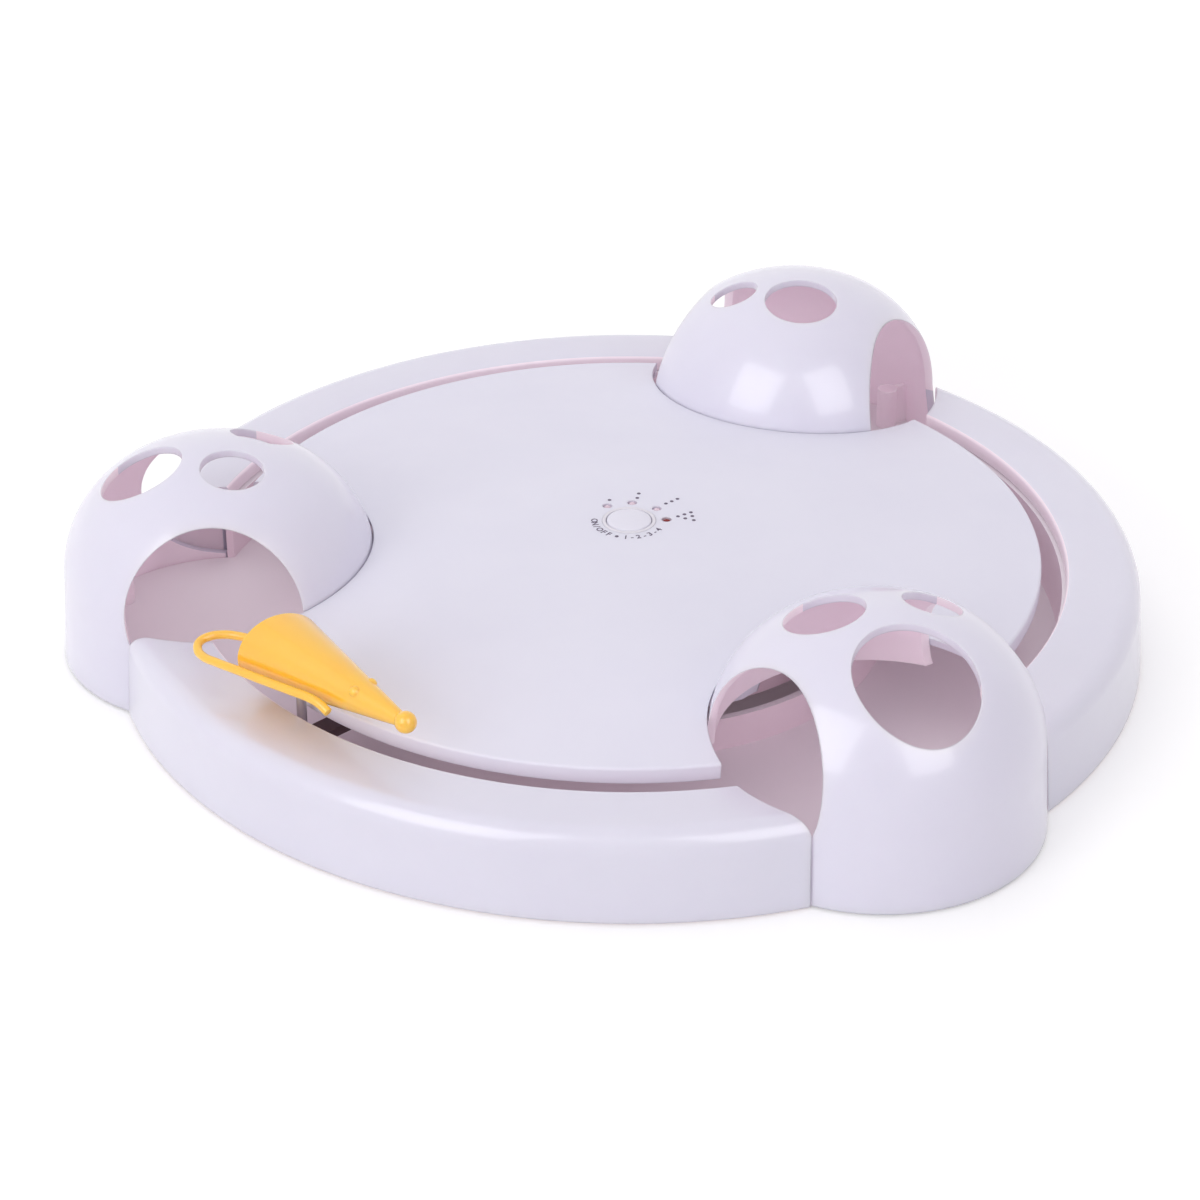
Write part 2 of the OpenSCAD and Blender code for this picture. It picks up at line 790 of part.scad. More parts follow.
// Open ring in the post's groove, above the rotor
module retaining_ring() {
    color(steel_colour) difference() {
        tube(post_tube_r + clip_w, post_tube_r - clip_depth + seat_fit, ring_clip_z, clip_t);
        translate([0, -clip_mouth / 2, 0]) cube([far, clip_mouth, far]);
    }
}

module drive_motor() {
    color(steel_colour) translate([motor_at[0], motor_at[1], 0]) difference() {
        union() {
            translate([0, 0, floor_z]) cylinder(r = motor_r, h = motor_h);
            translate([0, 0, motor_top - bite]) cylinder(r = motor_boss_r, h = motor_boss_h);
        }
        translate([0, 0, floor_z + motor_end_t]) cylinder(r = shaft_r + run_fit, h = far);
    }
}

module gear_pins() {
    color(steel_colour) for (at = [first_at, second_at]) {
        translate([at[0], at[1], floor_z]) cylinder(r = gear_pin_r, h = rotor_under - pass_gap - floor_z);
    }
}

// Cells lie along Y, every second one turned round
module at_cells() {
    for (k = [0:cells - 1]) {
        translate([box_x + (k - (cells - 1) / 2) * cell_pitch, 0, cell_z]) mirror([0, k % 2, 0]) children();
    }
}

module batteries() {
    color(cell_colour) at_cells() {
        translate([0, -cell_l / 2, 0]) rotate([-90, 0, 0]) {
            cylinder(r = cell_r, h = cell_l - cap_l);
            cylinder(r = cap_r, h = cell_l);
        }
    }
}

module contact_plates() {
    color(steel_colour) at_cells() {
        translate([-contact_w / 2, cell_l / 2 + axial_play, -contact_w / 2])
            cube([contact_w, box_half_y - cell_l / 2 - 2 * axial_play, contact_w]);
    }
}

// Bent strips that press on the flat end of each cell
module contact_leaves() {
    leaf_y = -box_half_y + axial_play;
    leaf_reach = box_half_y - cell_l / 2 - 2 * axial_play;
    bend = contact_w * 0.55;
    color(steel_colour) at_cells() {
        translate([-contact_w / 2, leaf_y, -contact_w / 2]) rotate([90, 0, 90]) linear_extrude(contact_w)
            polygon([
                [0, 0], [contact_t, 0], [leaf_reach, bend], [contact_t, contact_w],
                [0, contact_w], [leaf_reach - contact_t * 1.2, bend]
            ]);
    }
}

module battery_door() {
    color(shell_colour) difference() {
        box_block(door_half_x - seat_fit, door_half_y - seat_fit, base_z, base_z + door_t);
        at_door_screws() {
            cylinder(r = screw_r + seat_fit, h = far);
            cylinder(r = head_r + seat_fit, h = base_z + door_head_h);
        }
    }
}

module door_screws() {
    color(steel_colour) at_door_screws() translate([0, 0, base_z + door_head_h])
        screw(screw_r, door_boss_h, head_r, door_head_h);
}

module shell_screws() {
    color(steel_colour) at_shell_screws() translate([0, 0, base_z + head_h])
        screw(screw_r, floor_t - head_h + shell_screw_l, head_r, head_h);
}

module rubber_feet() {
    color(dark_colour) {
        for (i = [0:2], side = [-1, 1]) {
            at_segment(i, foot_ring_r, side * foot_turn) cylinder(r = foot_r, h = foot_h);
        }
        cylinder(r = centre_foot_r, h = foot_h);
    }
}

module circuit_board() {
    color(board_colour) difference() {
        translate([0, 0, board_z]) cylinder(r = board_r, h = board_t);
        at_board_screws() cylinder(r = screw_r + seat_fit, h = far);
    }
}

module tact_switch() {
    color(dark_colour) difference() {
        translate([-switch_half, -switch_half, board_top])
            cube([2 * switch_half, 2 * switch_half, switch_h]);
        cylinder(r = plunger_r + run_fit, h = far);
    }
}

// Timer light: a round-nosed lens on a flange, standing on the board
module led() {
    nose_z = deck_top_z - led_r - axial_play;
    translate([led_ring_r, 0, 0]) {
        translate([0, 0, board_top]) cylinder(r = led_r + led_flange_w, h = led_flange_h);
        translate([0, 0, board_top]) cylinder(r = led_r, h = nose_z - board_top);
        translate([0, 0, nose_z]) sphere(r = led_r);
    }
}

module clear_leds() {
    color(clear_colour) for (turn = led_turns) rotate([0, 0, turn]) led();
}

module lit_led() {
    color(lit_colour) rotate([0, 0, lit_turn]) led();
}

module board_screws() {
    color(steel_colour) at_board_screws() translate([0, 0, board_z])
        screw(screw_r, board_t + board_screw_bite, head_r, head_h);
}

module hub_screws() {
    color(steel_colour) at_hub_screws() translate([0, 0, hub_plate_z])
        screw(screw_r, hub_plate_t + hub_screw_bite, head_r, head_h);
}

module button_bezel() {
    color(bezel_colour)
        tube(bezel_r + bezel_w - seat_fit / 2, bezel_r, deck_under_z, deck_wall + bezel_proud);
}

// Rotor: plate with a rim, a hub and the gear that drives it
module rotor_plate() {
    color(nylon_colour) difference() {
        union() {
            translate([0, 0, rotor_under]) cylinder(r = rotor_r, h = rotor_t);
            tube(rotor_r, rotor_r - rotor_wall, arm_low, rotor_under - arm_low + bite);
            translate([0, 0, hub_bottom]) cylinder(r = hub_r, h = rotor_top - hub_bottom);
            gear_disc(rotor_teeth, 0, layer_one);
        }
        cylinder(r = post_tube_r + run_fit, h = far);
        rotate([0, 0, mouse_az]) for (r = arm_screws_at) {
            translate([r, 0, 0]) cylinder(r = screw_r + seat_fit, h = far);
        }
    }
}

// Stepped strip that carries the mouse's post through the slot
module carrier_arm() {
    upper_l = arm_drop_r + arm_t - arm_inner_r;
    drop_h = rotor_top + arm_t - arm_low;
    color(dark_colour) rotate([0, 0, mouse_az]) difference() {
        intersection() {
            union() {
                translate([arm_inner_r, -arm_w / 2, rotor_top]) cube([upper_l, arm_w, arm_t]);
                translate([arm_drop_r, -arm_w / 2, arm_low]) cube([arm_t, arm_w, drop_h]);
                translate([arm_drop_r, -arm_w / 2, arm_low]) cube([arm_end_r, arm_w, arm_t]);
            }
            cylinder(r = arm_end_r, h = far, $fn = 256);
        }
        for (r = arm_screws_at) translate([r, 0, 0]) cylinder(r = screw_r + seat_fit, h = far);
        translate([track_r, 0, 0]) cylinder(r = mouse_post_r + seat_fit / 2, h = far);
    }
}

module arm_screws() {
    color(steel_colour) rotate([0, 0, mouse_az]) for (r = arm_screws_at) {
        translate([r, 0, rotor_top + arm_t]) mirror([0, 0, 1])
            screw(screw_r, arm_t + rotor_t, head_r, head_h);
    }
}

// Places a child on the track at the mouse: x outward, y ahead
module at_mouse() {
    rotate([0, 0, mouse_az]) translate([track_r, 0, 0]) children();
}

module mouse_post() {
    color(steel_colour) at_mouse() translate([0, 0, arm_low])
        cylinder(r = mouse_post_r, h = mouse_z - arm_low);
}

// Mouse: a cone from a slanted rear disc to a tip, with ears and a nose ball
module mouse_body() {
    cone_fall = (rear_r - tip_r) / (tip_ahead + rear_back);
    ear_out = rear_r - cone_fall * (ear_ahead + rear_back) - ear_sink;
    color(mouse_colour) at_mouse() difference() {
        translate([0, 0, mouse_z]) rotate([mouse_pitch, 0, 0]) {
            hull($fn = 48) {
                translate([0, tip_ahead, 0]) sphere(r = tip_r, $fn = 24);
                translate([0, -rear_back, 0]) rotate([0, 0, -rear_yaw]) rotate([90 + rear_tilt, 0, 0])
                    rotate_extrude($fn = 64) translate([rear_r - rear_round, 0]) circle(rear_round, $fn = 16);
            }
            translate([0, tip_ahead + nose_r * nose_reach, 0]) sphere(r = nose_r);
            for (side = [-1, 1]) {
                rotate([0, side * ear_angle, 0]) translate([0, ear_ahead, ear_out]) sphere(r = ear_r);
            }
        }
        cylinder(r = mouse_post_r + seat_fit / 2, h = mouse_z + seat_fit);
    }
}

// Smooth curve through the tail's points, and the rings of its tube
function spline(a, b, c, d, t) = 0.5 * (2 * b + (c - a) * t + (2 * a - 5 * b + 4 * c - d) * t * t
    + (3 * b - a - 3 * c + d) * t * t * t);
function pick(list, k) = list[max(0, min(len(list) - 1, k))];
function tail_at(k, t) =
    spline(pick(tail_points, k - 1), tail_points[k], tail_points[k + 1], pick(tail_points, k + 2), t);
tail_path = [
    for (k = [0:len(tail_points) - 2], s = [0:tail_steps - 1])
        tail_at(k, s / tail_steps),
    tail_points[len(tail_points) - 1]
];
function tail_dir(k) = let (d = pick(tail_path, k + 1) - pick(tail_path, k - 1)) d / norm(d);
function tail_ring(k) =
    let (
        dir = tail_dir(k),
        side = cross(dir, [0, 0, 1]) / norm(cross(dir, [0, 0, 1])),
        up = cross(side, dir),
        step = 360 / tail_sides
    )
    [for (j = [0:tail_sides - 1]) tail_path[k] + tail_r * (cos(step * j) * side + sin(step * j) * up)];
function tail_point(k, j) = k * tail_sides + j % tail_sides;

module mouse_tail() {
    rings = len(tail_path);
    last = (rings - 1) * tail_sides;
    color(mouse_colour) at_mouse() polyhedron(
        points = [for (k = [0:rings - 1]) each tail_ring(k)],
        faces = [
            [for (j = [0:tail_sides - 1]) j],
            for (k = [0:rings - 2], j = [0:tail_sides - 1]) each [
                [tail_point(k, j), tail_point(k + 1, j), tail_point(k + 1, j + 1)],
                [tail_point(k, j), tail_point(k + 1, j + 1), tail_point(k, j + 1)]
            ],
            [for (j = [tail_sides - 1:-1:0]) last + j]
        ]
    );
}

// Compound gear: two gears and a sleeve that stands on its boss
module compound_gear(at, low_teeth, low_phase, low_z, high_teeth) {
    high_z = low_z + gear_t + layer_gap;
    sleeve_z = gear_boss_top + axial_play;
    color(nylon_colour) translate([at[0], at[1], 0]) difference() {
        union() {
            gear_disc(low_teeth, low_phase, low_z);
            gear_disc(high_teeth, 0, high_z);
            translate([0, 0, sleeve_z]) cylinder(r = gear_sleeve_r, h = high_z + gear_t - sleeve_z);
        }
        cylinder(r = gear_pin_r + run_fit, h = far);
    }
}

module first_gear() compound_gear(first_at, first_small, first_phase, layer_two, first_large);
module second_gear() compound_gear(second_at, second_small, second_phase, layer_one, second_large);

module motor_shaft() {
    color(steel_colour) translate([motor_at[0], motor_at[1], shaft_low])
        cylinder(r = shaft_r, h = layer_three + gear_t - shaft_low);
}

module motor_pinion() {
    color(brass_colour) translate([motor_at[0], motor_at[1], 0]) difference() {
        gear_disc(pinion_teeth, pinion_phase, layer_three);
        cylinder(r = shaft_r + seat_fit / 2, h = far);
    }
}

// Button: a crowned cap with a flange that keeps it under the deck
module button_cap() {
    color(shell_colour) {
        intersection() {
            translate([0, 0, button_low]) cylinder(r = button_r, h = button_top - button_low);
            translate([0, 0, button_top - button_ball_r]) sphere(r = button_ball_r, $fn = 128);
        }
        translate([0, 0, button_low]) cylinder(r = button_flange_r, h = button_flange_t);
    }
}

module switch_plunger() {
    color(dark_colour) translate([0, 0, board_top + plunger_lift])
        cylinder(r = plunger_r, h = button_low - board_top - plunger_lift);
}

base_tray();
rim_back();
rim_front();
rim_right();
dome_back();
dome_left();
dome_front();
deck_cover();
deck_hub();
centre_post();
post_screw();
thrust_washer();
retaining_ring();
drive_motor();
gear_pins();
batteries();
contact_plates();
contact_leaves();
battery_door();
door_screws();
shell_screws();
rubber_feet();
circuit_board();
tact_switch();
clear_leds();
lit_led();
board_screws();
hub_screws();
button_bezel();
rotor_plate();
carrier_arm();
arm_screws();
mouse_post();
mouse_body();
mouse_tail();
first_gear();
second_gear();
motor_shaft();
motor_pinion();
button_cap();
switch_plunger();
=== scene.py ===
"""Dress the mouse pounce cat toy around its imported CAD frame: shells, mouse, print, finishes and studio.

Sizes in the classes are millimetres, and the meshes are made in metres in the frame of the CAD model.
"""
import json
import logging
import math
from collections.abc import Callable
from dataclasses import dataclass, field
from enum import Enum

import bmesh
import bpy
from mathutils import Matrix, Vector

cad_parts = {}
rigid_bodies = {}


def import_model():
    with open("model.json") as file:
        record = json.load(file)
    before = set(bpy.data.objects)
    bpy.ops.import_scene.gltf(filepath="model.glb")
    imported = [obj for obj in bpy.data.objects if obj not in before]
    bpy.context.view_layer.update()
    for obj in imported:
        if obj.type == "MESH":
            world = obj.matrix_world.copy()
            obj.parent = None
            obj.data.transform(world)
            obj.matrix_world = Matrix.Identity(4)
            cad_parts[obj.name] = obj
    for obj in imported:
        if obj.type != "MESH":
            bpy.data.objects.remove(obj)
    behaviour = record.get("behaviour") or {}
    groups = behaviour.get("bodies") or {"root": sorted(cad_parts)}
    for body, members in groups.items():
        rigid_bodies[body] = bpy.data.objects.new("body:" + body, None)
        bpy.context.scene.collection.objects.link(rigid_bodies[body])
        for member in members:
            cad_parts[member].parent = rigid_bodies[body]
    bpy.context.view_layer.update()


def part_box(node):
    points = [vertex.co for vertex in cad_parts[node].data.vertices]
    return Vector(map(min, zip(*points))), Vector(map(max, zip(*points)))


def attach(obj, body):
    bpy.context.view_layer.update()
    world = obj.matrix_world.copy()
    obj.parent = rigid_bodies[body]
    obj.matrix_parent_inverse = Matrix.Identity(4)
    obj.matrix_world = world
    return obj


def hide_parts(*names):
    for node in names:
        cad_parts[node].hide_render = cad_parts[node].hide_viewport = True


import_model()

MM = 0.001
WELD = 1e-6
LOG = logging.getLogger("cat_toy")

Point = tuple[float, float]
Colour = tuple[float, float, float]

SOAK_REACH: Colour = (1.0, 0.9, 0.95)
SOAK_DEPTH = 4.0
COAT_SHEEN = 0.08
EDGE_SAMPLES = 6
MARK_ROUGHNESS = 0.35
GRAIN_STRENGTH = 0.35
LENS_CLEARNESS = 0.55
LENS_INDEX = 1.5
FULL_TURN = 360.0
SMALL_STEPS = 32
CAP_STEPS = 96
DOME_STEPS = 192
SEAT_STEPS = 240


class Cut(Enum):
    """How a tool shape acts on the shape it meets."""

    AWAY = "DIFFERENCE"
    JOIN = "UNION"
    BOTH = "INTERSECT"


class Surface(Enum):
    """Kinds of surface that a finish can have."""

    MOULDED = "moulded"
    METAL = "metal"
    CLEAR = "clear"


class Reach(Enum):
    """What the light of a lamp acts on."""

    BODY = "body"
    SHINE = "shine"


class Place(Enum):
    """Domes and rims, named for where they stand, with their order round the ring."""

    BACK = 0
    LEFT = 1
    FRONT = 2


def arc(centre: Point, radius: float, start: float, stop: float, steps: int) -> list[Point]:
    """Return points along a circular arc.

    Args:
        centre: Centre of the arc, as radius from the axis and height.
        radius: Radius of the arc.
        start: First angle in degrees, from the outward direction.
        stop: Last angle in degrees.
        steps: Number of straight steps.

    Returns:
        The points, both ends among them.
    """
    points = []
    for step in range(steps + 1):
        angle = math.radians(start + (stop - start) * step / steps)
        points.append((centre[0] + radius * math.cos(angle), centre[1] + radius * math.sin(angle)))
    return points


def turned(degrees: float) -> Matrix:
    """Return a turn about the vertical."""
    return Matrix.Rotation(math.radians(degrees), 4, "Z")


def moved(x: float, y: float, z: float) -> Matrix:
    """Return a shift given in millimetres."""
    return Matrix.Translation((x * MM, y * MM, z * MM))


def spun(
    outline: list[Point], steps: int, start: float = 0.0, sweep: float = FULL_TURN
) -> bmesh.types.BMesh:
    """Spin a closed outline about the vertical axis.

    Args:
        outline: Points of the outline, as radius and height. Ends on the axis are left open there.
        steps: Steps of the spin.
        start: Direction of the first section in degrees.
        sweep: Angle of the spin in degrees. Less than a full turn gets flat ends.

    Returns:
        A closed mesh with its faces outwards.
    """
    shape = bmesh.new()
    turn = turned(start)
    verts = [shape.verts.new(turn @ Vector((x * MM, 0, z * MM))) for x, z in outline]
    full = sweep >= FULL_TURN
    on_axis = outline[0][0] == 0 and outline[-1][0] == 0
    if full:
        pairs = list(zip(verts, verts[1:])) + ([] if on_axis else [(verts[-1], verts[0])])
        section = verts + [shape.edges.new(pair) for pair in pairs]
    else:
        face = shape.faces.new(verts)
        section = [*face.verts, *face.edges, face]
    bmesh.ops.spin(
        shape, geom=section, cent=(0, 0, 0), axis=(0, 0, 1), angle=math.radians(sweep), steps=steps,
        use_merge=full, use_normal_flip=False, use_duplicate=False,
    )
    bmesh.ops.remove_doubles(shape, verts=shape.verts[:], dist=WELD)
    bmesh.ops.recalc_face_normals(shape, faces=shape.faces[:])
    return shape


def rod(
    radius: float, low: float, high: float, steps: int, place: Matrix | None = None
) -> bmesh.types.BMesh:
    """Make a closed cylinder along its own Z axis.

    Args:
        radius: Radius of the cylinder.
        low: Height of its lower end.
        high: Height of its upper end.
        steps: Sides of the cylinder.
        place: Where it goes, from its own axes.

    Returns:
        The cylinder's mesh.
    """
    shape = bmesh.new()
    stand = (place or Matrix.Identity(4)) @ moved(0, 0, (low + high) / 2)
    bmesh.ops.create_cone(
        shape, cap_ends=True, segments=steps, radius1=radius * MM, radius2=radius * MM,
        depth=(high - low) * MM, matrix=stand,
    )
    return shape


def ball(radius: float, place: Matrix, steps: int = SMALL_STEPS) -> bmesh.types.BMesh:
    """Make a ball of a radius at a place."""
    shape = bmesh.new()
    bmesh.ops.create_uvsphere(
        shape, u_segments=steps, v_segments=steps // 2, radius=radius * MM, matrix=place
    )
    return shape


def lofted(rings: list[tuple[float, Matrix]], sides: int) -> bmesh.types.BMesh:
    """Bridge a row of circles into one closed body with flat ends.

    Args:
        rings: Radius and place of each circle, in order.
        sides: Sides of each circle.

    Returns:
        The closed body.
    """
    shape = bmesh.new()
    last: list[bmesh.types.BMEdge] = []
    for number, (radius, place) in enumerate(rings):
        is_end = number in (0, len(rings) - 1)
        made = bmesh.ops.create_circle(
            shape, cap_ends=is_end, segments=sides, radius=radius * MM, matrix=place
        )
        own = set(made["verts"])
        edges = [edge for edge in shape.edges if own.issuperset(edge.verts)]
        if last:
            bmesh.ops.bridge_loops(shape, edges=last + edges)
        last = edges
    bmesh.ops.recalc_face_normals(shape, faces=shape.faces[:])
    return shape


def scratch_object(shape: bmesh.types.BMesh, name: str) -> bpy.types.Object:
    """Put a mesh into the scene for a short while and free the bmesh."""
    mesh = bpy.data.meshes.new(name)
    shape.to_mesh(mesh)
    shape.free()
    item = bpy.data.objects.new(name, mesh)
    bpy.context.scene.collection.objects.link(item)
    return item


def discard(item: bpy.types.Object) -> None:
    """Delete a scratch object with its data."""
    mesh = item.data
    bpy.data.objects.remove(item)
    bpy.data.meshes.remove(mesh)


def evaluated(item: bpy.types.Object) -> bmesh.types.BMesh:
    """Return the mesh of an object as it stands with its modifiers or curve settings."""
    graph = bpy.context.evaluated_depsgraph_get()
    mesh = bpy.data.meshes.new_from_object(item.evaluated_get(graph))
    shape = bmesh.new()
    shape.from_mesh(mesh)
    bpy.data.meshes.remove(mesh)
    return shape


def traced(curve: bpy.types.Curve) -> bmesh.types.BMesh:
    """Return the mesh of a curve or a text, and delete the curve."""
    item = bpy.data.objects.new(curve.name, curve)
    bpy.context.scene.collection.objects.link(item)
    shape = evaluated(item)
    bpy.data.objects.remove(item)
    bpy.data.curves.remove(curve)
    return shape


def combined(body: bmesh.types.BMesh, tools: list[bmesh.types.BMesh], how: Cut) -> bmesh.types.BMesh:
    """Cut tools out of a body, join them to it, or keep what both share.

    Args:
        body: Closed mesh that is worked on.
        tools: Closed meshes that act on it, in order.
        how: What the tools do to the body.

    Returns:
        The new mesh. The meshes given are freed.
    """
    target = scratch_object(body, "work_body")
    helpers = [scratch_object(tool, "work_tool") for tool in tools]
    for helper in helpers:
        modifier = target.modifiers.new("combine", "BOOLEAN")
        modifier.operation = how.value
        modifier.solver = "EXACT"
        modifier.object = helper
    shape = evaluated(target)
    for item in [target, *helpers]:
        discard(item)
    bmesh.ops.remove_doubles(shape, verts=shape.verts[:], dist=WELD)
    bmesh.ops.dissolve_degenerate(shape, dist=WELD, edges=shape.edges[:])
    return shape


def merged(shapes: list[bmesh.types.BMesh]) -> bmesh.types.BMesh:
    """Put several meshes into one and free them."""
    whole = bmesh.new()
    for shape in shapes:
        mesh = bpy.data.meshes.new("part")
        shape.to_mesh(mesh)
        shape.free()
        whole.from_mesh(mesh)
        bpy.data.meshes.remove(mesh)
    return whole


def new_group(name: str, inputs: dict[str, float | Colour], outputs: tuple[str, ...]) -> bpy.types.NodeTree:
    """Start a shader node group with named sockets.

    Args:
        name: Name of the group.
        inputs: Each input's name and default, a number or a colour.
        outputs: Names of the outputs; one called Colour is a colour and the rest are numbers.

    Returns:
        The group, with its input and output nodes in place.
    """
    group = bpy.data.node_groups.new(name, "ShaderNodeTree")
    for label, default in inputs.items():
        kind = "NodeSocketColor" if isinstance(default, tuple) else "NodeSocketFloat"
        socket = group.interface.new_socket(label, in_out="INPUT", socket_type=kind)
        socket.default_value = (*default, 1.0) if isinstance(default, tuple) else default
    for label in outputs:
        kind = "NodeSocketColor" if label == "Colour" else "NodeSocketFloat"
        group.interface.new_socket(label, in_out="OUTPUT", socket_type=kind)
    group.nodes.new("NodeGroupInput").name = "in"
    group.nodes.new("NodeGroupOutput").name = "out"
    return group


def node(
    tree: bpy.types.NodeTree, kind: str, links: dict[str | int, object] | None = None, **settings: object
) -> bpy.types.Node:
    """Add a shader node.

    Args:
        tree: Tree that the node goes into.
        kind: The node's type.
        links: For each input, by name or number, an output socket to link or a value to set.
        settings: Properties of the node itself.

    Returns:
        The new node.
    """
    made = tree.nodes.new(kind)
    for label, value in settings.items():
        setattr(made, label, value)
    for label, value in (links or {}).items():
        if isinstance(value, bpy.types.NodeSocket):
            tree.links.new(value, made.inputs[label])
        else:
            made.inputs[label].default_value = value
    return made


def blended(
    tree: bpy.types.NodeTree, share: bpy.types.NodeSocket, first: bpy.types.NodeSocket | Colour,
    second: bpy.types.NodeSocket | Colour,
) -> bpy.types.NodeSocket:
    """Mix two colours in a node tree.

    Args:
        tree: Tree that the mix goes into.
        share: Socket that gives the second colour's share.
        first: A colour or a socket that gives one.
        second: The other colour.

    Returns:
        The socket of the mixed colour.
    """
    mix = node(tree, "ShaderNodeMix", {"Factor": share}, data_type="RGBA")
    sockets = [socket for socket in mix.inputs if socket.type == "RGBA"]
    for socket, colour in zip(sockets, (first, second)):
        if isinstance(colour, tuple):
            socket.default_value = (*colour, 1.0)
        else:
            tree.links.new(colour, socket)
    return next(socket for socket in mix.outputs if socket.type == "RGBA")


def skin_group() -> bpy.types.NodeTree:
    """Return the group that gives moulded plastic its fine grain, mottle and sheen, built once.

    Returns:
        A group with the outputs Colour, Roughness and Height.
    """
    name = "moulded_skin"
    if name in bpy.data.node_groups:
        return bpy.data.node_groups[name]
    group = new_group(
        name,
        {"Base": (0.8, 0.8, 0.8), "Shade": (0.7, 0.7, 0.7), "Sheen": 0.4, "Spread": 0.08, "Grain": 900.0},
        ("Colour", "Roughness", "Height"),
    )
    into, out = group.nodes["in"].outputs, group.nodes["out"].inputs
    place = node(group, "ShaderNodeTexCoord").outputs["Object"]
    grain = node(group, "ShaderNodeTexNoise", {"Vector": place, "Scale": into["Grain"], "Detail": 3.0})
    cloud = node(
        group, "ShaderNodeTexNoise", {"Vector": place, "Scale": 26.0, "Detail": 4.0, "Roughness": 0.6}
    )
    flow = node(
        group, "ShaderNodeMapRange", {"Value": cloud.outputs["Fac"], "From Min": 0.3, "From Max": 0.7}
    )
    mottle = blended(group, flow.outputs["Result"], into["Base"], into["Shade"])
    swing = node(
        group, "ShaderNodeMath", {0: flow.outputs["Result"], 1: into["Spread"]}, operation="MULTIPLY"
    )
    sheen = node(group, "ShaderNodeMath", {0: into["Sheen"], 1: swing.outputs[0]}, operation="ADD")
    group.links.new(mottle, out["Colour"])
    group.links.new(sheen.outputs[0], out["Roughness"])
    group.links.new(grain.outputs["Fac"], out["Height"])
    return group


def marks_group() -> bpy.types.NodeTree:
    """Return the group that gives a mask of fine handling scratches, built once.

    Returns:
        A group with the output Mask.
    """
    name = "handling_marks"
    if name in bpy.data.node_groups:
        return bpy.data.node_groups[name]
    group = new_group(name, {"Amount": 0.5, "Turn": 0.6}, ("Mask",))
    into, out = group.nodes["in"].outputs, group.nodes["out"].inputs
    place = node(group, "ShaderNodeTexCoord").outputs["Object"]
    turn = node(
        group, "ShaderNodeVectorRotate", {"Vector": place, "Angle": into["Turn"]}, rotation_type="Z_AXIS"
    )
    stretch = node(group, "ShaderNodeMapping", {"Vector": turn.outputs[0], "Scale": (14.0, 420.0, 60.0)})
    streak = node(group, "ShaderNodeTexNoise", {"Vector": stretch.outputs[0], "Scale": 1.0, "Detail": 1.0})
    patch = node(group, "ShaderNodeTexNoise", {"Vector": place, "Scale": 9.0, "Detail": 2.0})
    fine = node(
        group, "ShaderNodeMapRange", {"Value": streak.outputs["Fac"], "From Min": 0.66, "From Max": 0.74}
    )
    worn = node(
        group, "ShaderNodeMapRange", {"Value": patch.outputs["Fac"], "From Min": 0.48, "From Max": 0.66}
    )
    both = node(group, "ShaderNodeMath", {0: fine.outputs[0], 1: worn.outputs[0]}, operation="MULTIPLY")
    mask = node(group, "ShaderNodeMath", {0: both.outputs[0], 1: into["Amount"]}, operation="MULTIPLY")
    group.links.new(mask.outputs[0], out["Mask"])
    return group


